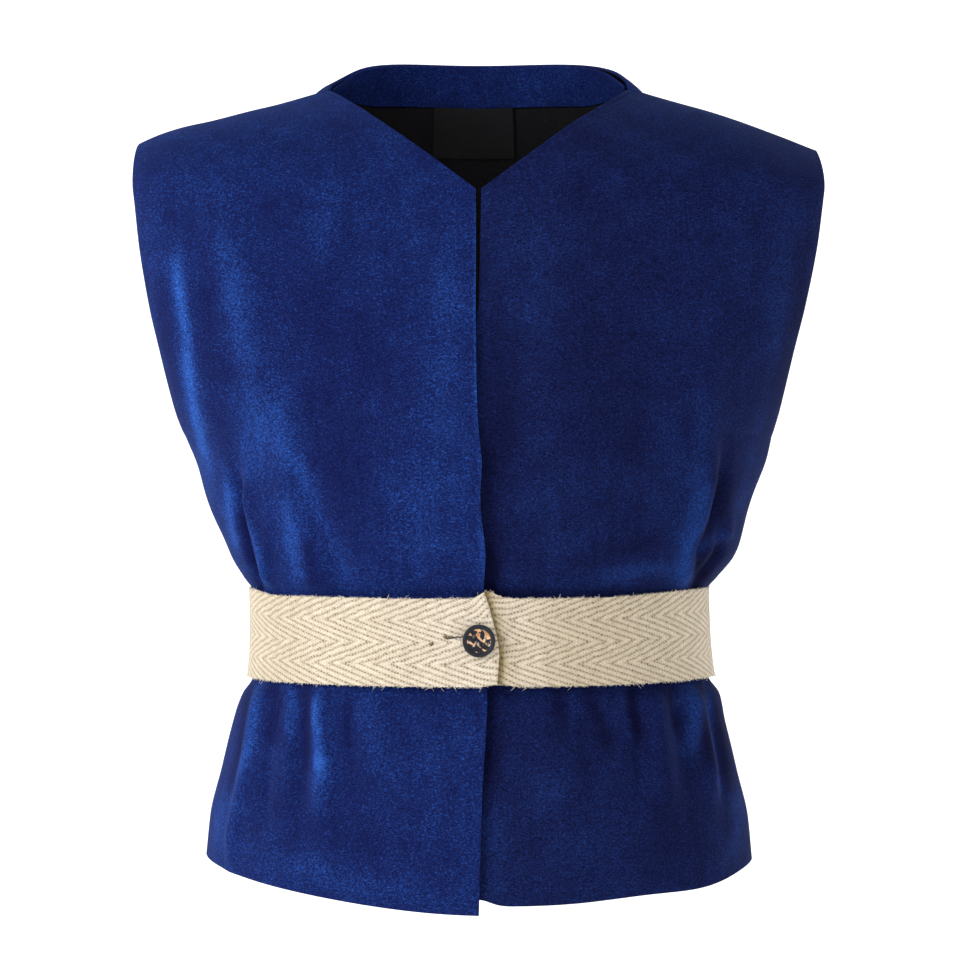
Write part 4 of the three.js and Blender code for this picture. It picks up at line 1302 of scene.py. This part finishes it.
def strand(points, radius):
    """Corners and faces of a thin three-sided strand through points, closed at both ends."""
    corners, faces = [], []
    for i, point in enumerate(points):
        ahead = points[min(i + 1, len(points) - 1)] - points[max(i - 1, 0)]
        ahead = ahead / np.linalg.norm(ahead)
        side = np.cross(ahead, (0.3, 0.1, 0.95))
        side /= np.linalg.norm(side)
        over = np.cross(ahead, side)
        thin = radius * (1 - 0.6 * i / (len(points) - 1))
        for k in range(3):
            angle = 2 * math.pi * k / 3
            corners.append(point + thin * (math.cos(angle) * side + math.sin(angle) * over))
    for i in range(len(points) - 1):
        for k in range(3):
            a, b = 3 * i + k, 3 * i + (k + 1) % 3
            faces.append((a, b, b + 3, a + 3))
    last = len(corners) - 3
    faces.append((2, 1, 0))
    faces.append((last, last + 1, last + 2))
    return corners, faces


def strands(lines, radius):
    """Corners and faces of many strands, as the parts of one mesh."""
    corners, faces = [], []
    for line in lines:
        some, more = strand(line, radius)
        faces += [tuple(len(corners) + k for k in face) for face in more]
        corners += some
    return corners, faces


def mesh_piece(name, corners, faces, material):
    mesh = bpy.data.meshes.new(name)
    mesh.from_pydata([tuple(np.asarray(corner) * MM) for corner in corners], [], faces)
    shape = bmesh.new()
    shape.from_mesh(mesh)
    bmesh.ops.recalc_face_normals(shape, faces=shape.faces)
    shape.to_mesh(mesh)
    shape.free()
    for polygon in mesh.polygons:
        polygon.use_smooth = True
    piece = bpy.data.objects.new(name, mesh)
    bpy.context.scene.collection.objects.link(piece)
    mesh.materials.append(material)
    return piece


def fibre_lines():
    lines = []
    last_column = belt_points.shape[0] - 30
    for _ in range(FIBRE_COUNT):
        column_at = int(chance.integers(2, last_column))
        top = chance.random() < 0.5
        root = belt_points[column_at, -1 if top else 0].copy()
        inner = belt_points[column_at, -2 if top else 1]
        out = root - inner
        out /= np.linalg.norm(out)
        along = belt_points[column_at + 1, 0] - belt_points[column_at, 0]
        along /= np.linalg.norm(along)
        face = np.cross(along, (0, 0, 1.0))
        root += face * chance.uniform(-0.45, 0.45)
        reach = chance.uniform(*FIBRE_REACH) * (2.2 if chance.random() < 0.04 else 1)
        lean = along * chance.uniform(-0.9, 0.9) + face * chance.uniform(-0.2, 0.7) + out * 0.8
        bend = along * chance.uniform(-0.8, 0.8) + face * chance.uniform(-0.5, 0.5)
        start = root - out * 0.3
        lines.append([start + reach * (lean * t + bend * t * t * 0.7) for t in (0, 0.5, 1)])
    return lines


flax_fibre = Finish("flax_fibre", Roughness=0.8, Specular_IOR_Level=0.2)
flax_fibre.feed(Base_Color=flax_fibre.blend(
    flax_fibre.noise(400.0), colour(0.6, 0.52, 0.4), colour(0.86, 0.8, 0.68)
))
fibre_piece = mesh_piece(
    "belt_fibres", *strands(fibre_lines(), FIBRE_RADIUS), flax_fibre.material
)
finish_object(fibre_piece, None)
print("fibre faces:", len(fibre_piece.data.polygons))

# %% [markdown]
# ## The buttonhole
# The slit in the tape runs sideways, so that the pull of the belt keeps the button at its end.
# Only the end towards the wearer's right shows, as a row of dark strands along the cut: partly
# dark stitches that bind it, partly a painted shadow of the slit. A few brown threads lie beside
# them.

# %% Buttonhole stitches
def tape_face(x, z, lift):
    """A place on the outer face of the top layer of tape near the centre front."""
    block = belt_points[-200:-28].reshape(-1, 3)
    near = np.argmin((block[:, 0] - x) ** 2 + (block[:, 2] - z) ** 2)
    return np.array([x, block[near, 1] - TAPE_THICK / 2 - lift, z])


def stitch_lines(rows):
    lines = []
    for from_x, from_z, to_x, to_z in rows:
        line = []
        for t in (0, 0.25, 0.5, 0.75, 1):
            x, z = from_x + (to_x - from_x) * t, from_z + (to_z - from_z) * t
            line.append(tape_face(x, z, 0.1 + 0.35 * math.sin(math.pi * t)))
        lines.append(line)
    return lines


# Dark strands laid end to end along the slit: dark stitching, and a painted shadow in the cut.
DARK_STITCHES_AND_SLIT_SHADE = [
    (-15.6, -269.9, -14.1, -270.1), (-14.3, -269.5, -12.7, -269.9), (-12.8, -269.1, -11.5, -269.7),
    (-11.4, -269.4, -10.2, -269.0), (-10.4, -269.0, -9.0, -269.3), (-9.2, -269.4, -7.6, -268.9),
    (-22.9, -273.2, -21.6, -272.4),
]
STITCH_RADIUS = 0.46
BROWN_STITCHES = [
    (-17.0, -268.9, -15.0, -269.6), (-16.2, -268.5, -13.9, -269.2), (-15.4, -269.0, -12.6, -268.7),
    (-23.3, -272.2, -21.8, -271.9), (-16.6, -269.6, -14.8, -269.9),
]


def thread(name, base, brighter):
    finish = Finish(name, Roughness=0.75, Specular_IOR_Level=0.2)
    finish.feed(Base_Color=finish.blend(finish.noise(900.0), base, brighter))
    return finish.material


dark_thread_and_slit_shade = thread("dark_thread_and_slit_shade", colour(0.012, 0.012, 0.02), colour(0.05, 0.045, 0.05))
brown_thread = thread("brown_thread", colour(0.16, 0.11, 0.06), colour(0.3, 0.22, 0.13))
for stitch_name, stitch_rows, stitch_material in (
    ("buttonhole_stitches_and_slit_shade", DARK_STITCHES_AND_SLIT_SHADE, dark_thread_and_slit_shade),
    ("buttonhole_threads", BROWN_STITCHES, brown_thread),
):
    made = strands(stitch_lines(stitch_rows), STITCH_RADIUS)
    finish_object(mesh_piece(stitch_name, *made, stitch_material), None)
    print(stitch_name, "rows:", len(stitch_rows))

# %% [markdown]
# ## The button
# The button is a moulded disc with a plain raised rim and a dished, marbled centre with two
# holes. It starts as a cylinder. The rim and the dish come from insets and extrusions of its
# front face, the holes are cut with a boolean, and a bevel rounds every edge.

# %% Button shape
BUTTON_RADIUS = 7.75
BUTTON_THICK = 3.0
BUTTON_Z = -270.9
BUTTON_HOLE_RADIUS = 0.95
BUTTON_HOLES = ((-1.6, 1.5), (1.6, -1.5))
button_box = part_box("button")
button_front = button_box[0][1] / MM
print("front face of the button, in mm:", round(button_front, 2))


def cylinder(name, radius, depth, centre, sides):
    bpy.ops.object.select_all(action="DESELECT")
    bpy.ops.mesh.primitive_cylinder_add(
        vertices=sides, radius=radius * MM, depth=depth * MM,
        location=[part * MM for part in centre], rotation=(math.pi / 2, 0, 0),
    )
    piece = bpy.context.object
    piece.name = name
    bpy.ops.object.transform_apply(location=True, rotation=True, scale=True)
    return piece


def pick_faces(piece, test):
    shape = bmesh.from_edit_mesh(piece.data)
    for face in shape.faces:
        face.select = test(face)
    bmesh.update_edit_mesh(piece.data)


def front_faces(face):
    return face.normal.y < -0.9 and face.calc_center_median().y < (button_front + 1.2) * MM


button_middle = (0, button_front + BUTTON_THICK / 2, BUTTON_Z)
button = cylinder("button_disc", BUTTON_RADIUS, BUTTON_THICK, button_middle, 96)
bpy.ops.object.mode_set(mode="EDIT")
bpy.ops.mesh.select_all(action="DESELECT")
pick_faces(button, front_faces)
bpy.ops.mesh.inset(thickness=1.45 * MM, depth=0)
bpy.ops.mesh.inset(thickness=0.55 * MM, depth=-0.75 * MM)
bpy.ops.mesh.inset(thickness=2.2 * MM, depth=-0.18 * MM)
bpy.ops.object.mode_set(mode="OBJECT")
edge_round = button.modifiers.new("rounded_edges", "BEVEL")
edge_round.width = 0.38 * MM
edge_round.segments = 4
edge_round.limit_method = "ANGLE"
edge_round.angle_limit = math.radians(25)
for hole_x, hole_z in BUTTON_HOLES:
    drill = cylinder("drill", BUTTON_HOLE_RADIUS, 12, (hole_x, button_front, BUTTON_Z + hole_z), 24)
    cut = button.modifiers.new("thread_hole", "BOOLEAN")
    cut.operation = "DIFFERENCE"
    cut.solver = "EXACT"
    cut.object = drill
    apply_modifiers(button)
    bpy.data.objects.remove(drill)
bpy.ops.object.shade_smooth_by_angle(angle=math.radians(35))

# %% [markdown]
# ## Marbled plastic
# Streaks of amber and dark resin were stirred before they set, so the centre shows torn bands
# with thin pale seams. A wave that is pushed about by a noise gives such bands. The rim is
# plain and dark, so the material chooses by the distance from the middle of the button.

# %% Button finish
def marbled():
    finish = Finish("marbled_button", Roughness=0.42, Specular_IOR_Level=0.14, Coat_Roughness=0.2)
    spot = finish.node("ShaderNodeTexCoord", out="Object")
    x = finish.node("ShaderNodeSeparateXYZ", inputs={0: spot}, out=0)
    z = finish.node("ShaderNodeSeparateXYZ", inputs={0: spot}, out=2) - BUTTON_Z * MM
    away = (x * x + z * z).math("SQRT")
    centre = finish.remap(away, 5.75 * MM, 5.5 * MM)
    drift = finish.noise(300.0, 2.0, 0.5) - 0.5
    swirl = finish.noise(420.0, 2.0, 0.55, (1.4, 1.0, 0.75)) - 0.5
    band = ((x * 0.5 + z * 1.1 + drift * 0.009) * 1450.0).math("SINE") * 0.35 + swirl * 2.6
    amber = finish.remap(band, 0.12, 0.3)
    seam = finish.remap((band - 0.2).math("ABSOLUTE"), 0.16, 0.03)
    mild = finish.remap(drift, -0.1, 0.1)
    warm = finish.blend(mild, colour(0.3, 0.125, 0.045), colour(0.62, 0.35, 0.16))
    stone = finish.blend(amber, colour(0.005, 0.005, 0.008), warm)
    veined = finish.blend(seam * 0.6, stone, colour(0.5, 0.4, 0.3))
    mottle = finish.noise(500.0)
    rim = finish.blend(mottle, colour(0.008, 0.009, 0.012), colour(0.014, 0.016, 0.021))
    finish.feed(Base_Color=finish.blend(centre, rim, veined))
    finish.feed(Coat_Weight=finish.remap(centre, 0, 1, 0.0, 0.12))
    finish.feed(Normal=finish.bump(band * centre, 0.15, 0.0002))
    return finish.material


button.data.materials.clear()
button.data.materials.append(marbled())
finish_object(button, "button")
print("button faces:", len(button.data.polygons))

# %% [markdown]
# ## The thread in the button
# Two holes take one strong bar of thread. It lies across the dish from hole to hole and goes
# down into both, which is what keeps the button on the lower layer of the tape.

# %% Button thread
BAR_DEPTHS = (
    (0.0, 1.6), (0.04, 0.3), (0.18, -0.22), (0.5, -0.34), (0.82, -0.22), (0.96, 0.3), (1.0, 1.6),
)


def bar_lines():
    lines = []
    (from_x, from_z), (to_x, to_z) = BUTTON_HOLES
    floor_y = button_front + 0.95
    for shift in (-0.32, 0.0, 0.32):
        line = []
        for t, depth in BAR_DEPTHS:
            x = from_x + (to_x - from_x) * t + shift * 0.68
            z = BUTTON_Z + from_z + (to_z - from_z) * t + shift * 0.73
            line.append(np.array([x, floor_y + depth, z]))
        lines.append(line)
    return lines


blue_thread = thread("blue_thread", colour(0.006, 0.009, 0.035), colour(0.02, 0.03, 0.09))
bar = mesh_piece("button_thread", *strands(bar_lines(), 0.24), blue_thread)
finish_object(bar, None)
print("thread faces:", len(bar.data.polygons))

# %% [markdown]
# ## The stage
# The photograph has a plain white ground with no visible edge. A wide round tray gives the
# same from every side: a flat floor whose rim curves up behind the garment.

# %% Floor and backdrop
FLOOR_Z = -0.62
TRAY_RADIUS = 4.2
TRAY_HEIGHT = 2.4
bpy.ops.object.select_all(action="DESELECT")
bpy.ops.mesh.primitive_cylinder_add(
    vertices=96, radius=TRAY_RADIUS, depth=TRAY_HEIGHT, location=(0, 0, FLOOR_Z + TRAY_HEIGHT / 2)
)
tray = bpy.context.object
tray.name = "studio_floor"
bpy.ops.object.mode_set(mode="EDIT")
shape = bmesh.from_edit_mesh(tray.data)
top = [face for face in shape.faces if face.normal.z > 0.9]
bmesh.ops.delete(shape, geom=top, context="FACES")
for edge in shape.edges:
    edge.select = all(vertex.co.z < 0 for vertex in edge.verts)
bmesh.update_edit_mesh(tray.data)
bpy.ops.mesh.bevel(offset=1.3, segments=14, affect="EDGES")
bpy.ops.mesh.select_all(action="SELECT")
bpy.ops.mesh.flip_normals()
bpy.ops.object.mode_set(mode="OBJECT")
bpy.ops.object.shade_smooth()
paper = Finish("paper_white", Roughness=0.9, Specular_IOR_Level=0.0)
paper.feed(Base_Color=paper.blend(
    paper.noise(3.0), colour(0.93, 0.93, 0.93), colour(0.95, 0.95, 0.95)
))
paper.shader.inputs["Emission Color"].default_value = (1, 1, 1, 1)
paper.shader.inputs["Emission Strength"].default_value = 0.3
tray.data.materials.append(paper.material)

world = bpy.data.worlds.new("studio")
bpy.context.scene.world = world
world.use_nodes = True
sky = world.node_tree.nodes["Background"]
sky.inputs["Color"].default_value = (1, 1, 1, 1)
sky.inputs["Strength"].default_value = 0.74
bpy.context.scene.view_settings.view_transform = "Standard"


def soft_light(name, place, aim, wide, high, watts):
    """A rectangle of light at place that faces aim, with its size in metres."""
    data = bpy.data.lights.new(name, "AREA")
    data.shape = "RECTANGLE"
    data.size = wide
    data.size_y = high
    data.energy = watts
    light = bpy.data.objects.new(name, data)
    bpy.context.scene.collection.objects.link(light)
    light.location = place
    light.rotation_euler = (Vector(aim) - Vector(place)).to_track_quat("-Z", "Y").to_euler()


soft_light("key_left", (-1.5, -1.3, 0.5), (0, 0, -0.18), 0.9, 1.3, 42)
soft_light("fill_right", (1.7, -1.2, 0.2), (0, 0, -0.2), 0.8, 1.2, 5)
soft_light("rim_left", (-1.6, 0.5, 0.1), (-0.1, 0, -0.2), 0.6, 1.3, 16)
soft_light("rim_right", (1.6, 0.5, 0.1), (0.1, 0, -0.2), 0.6, 1.3, 8)
print("lights:", len(bpy.data.lights))
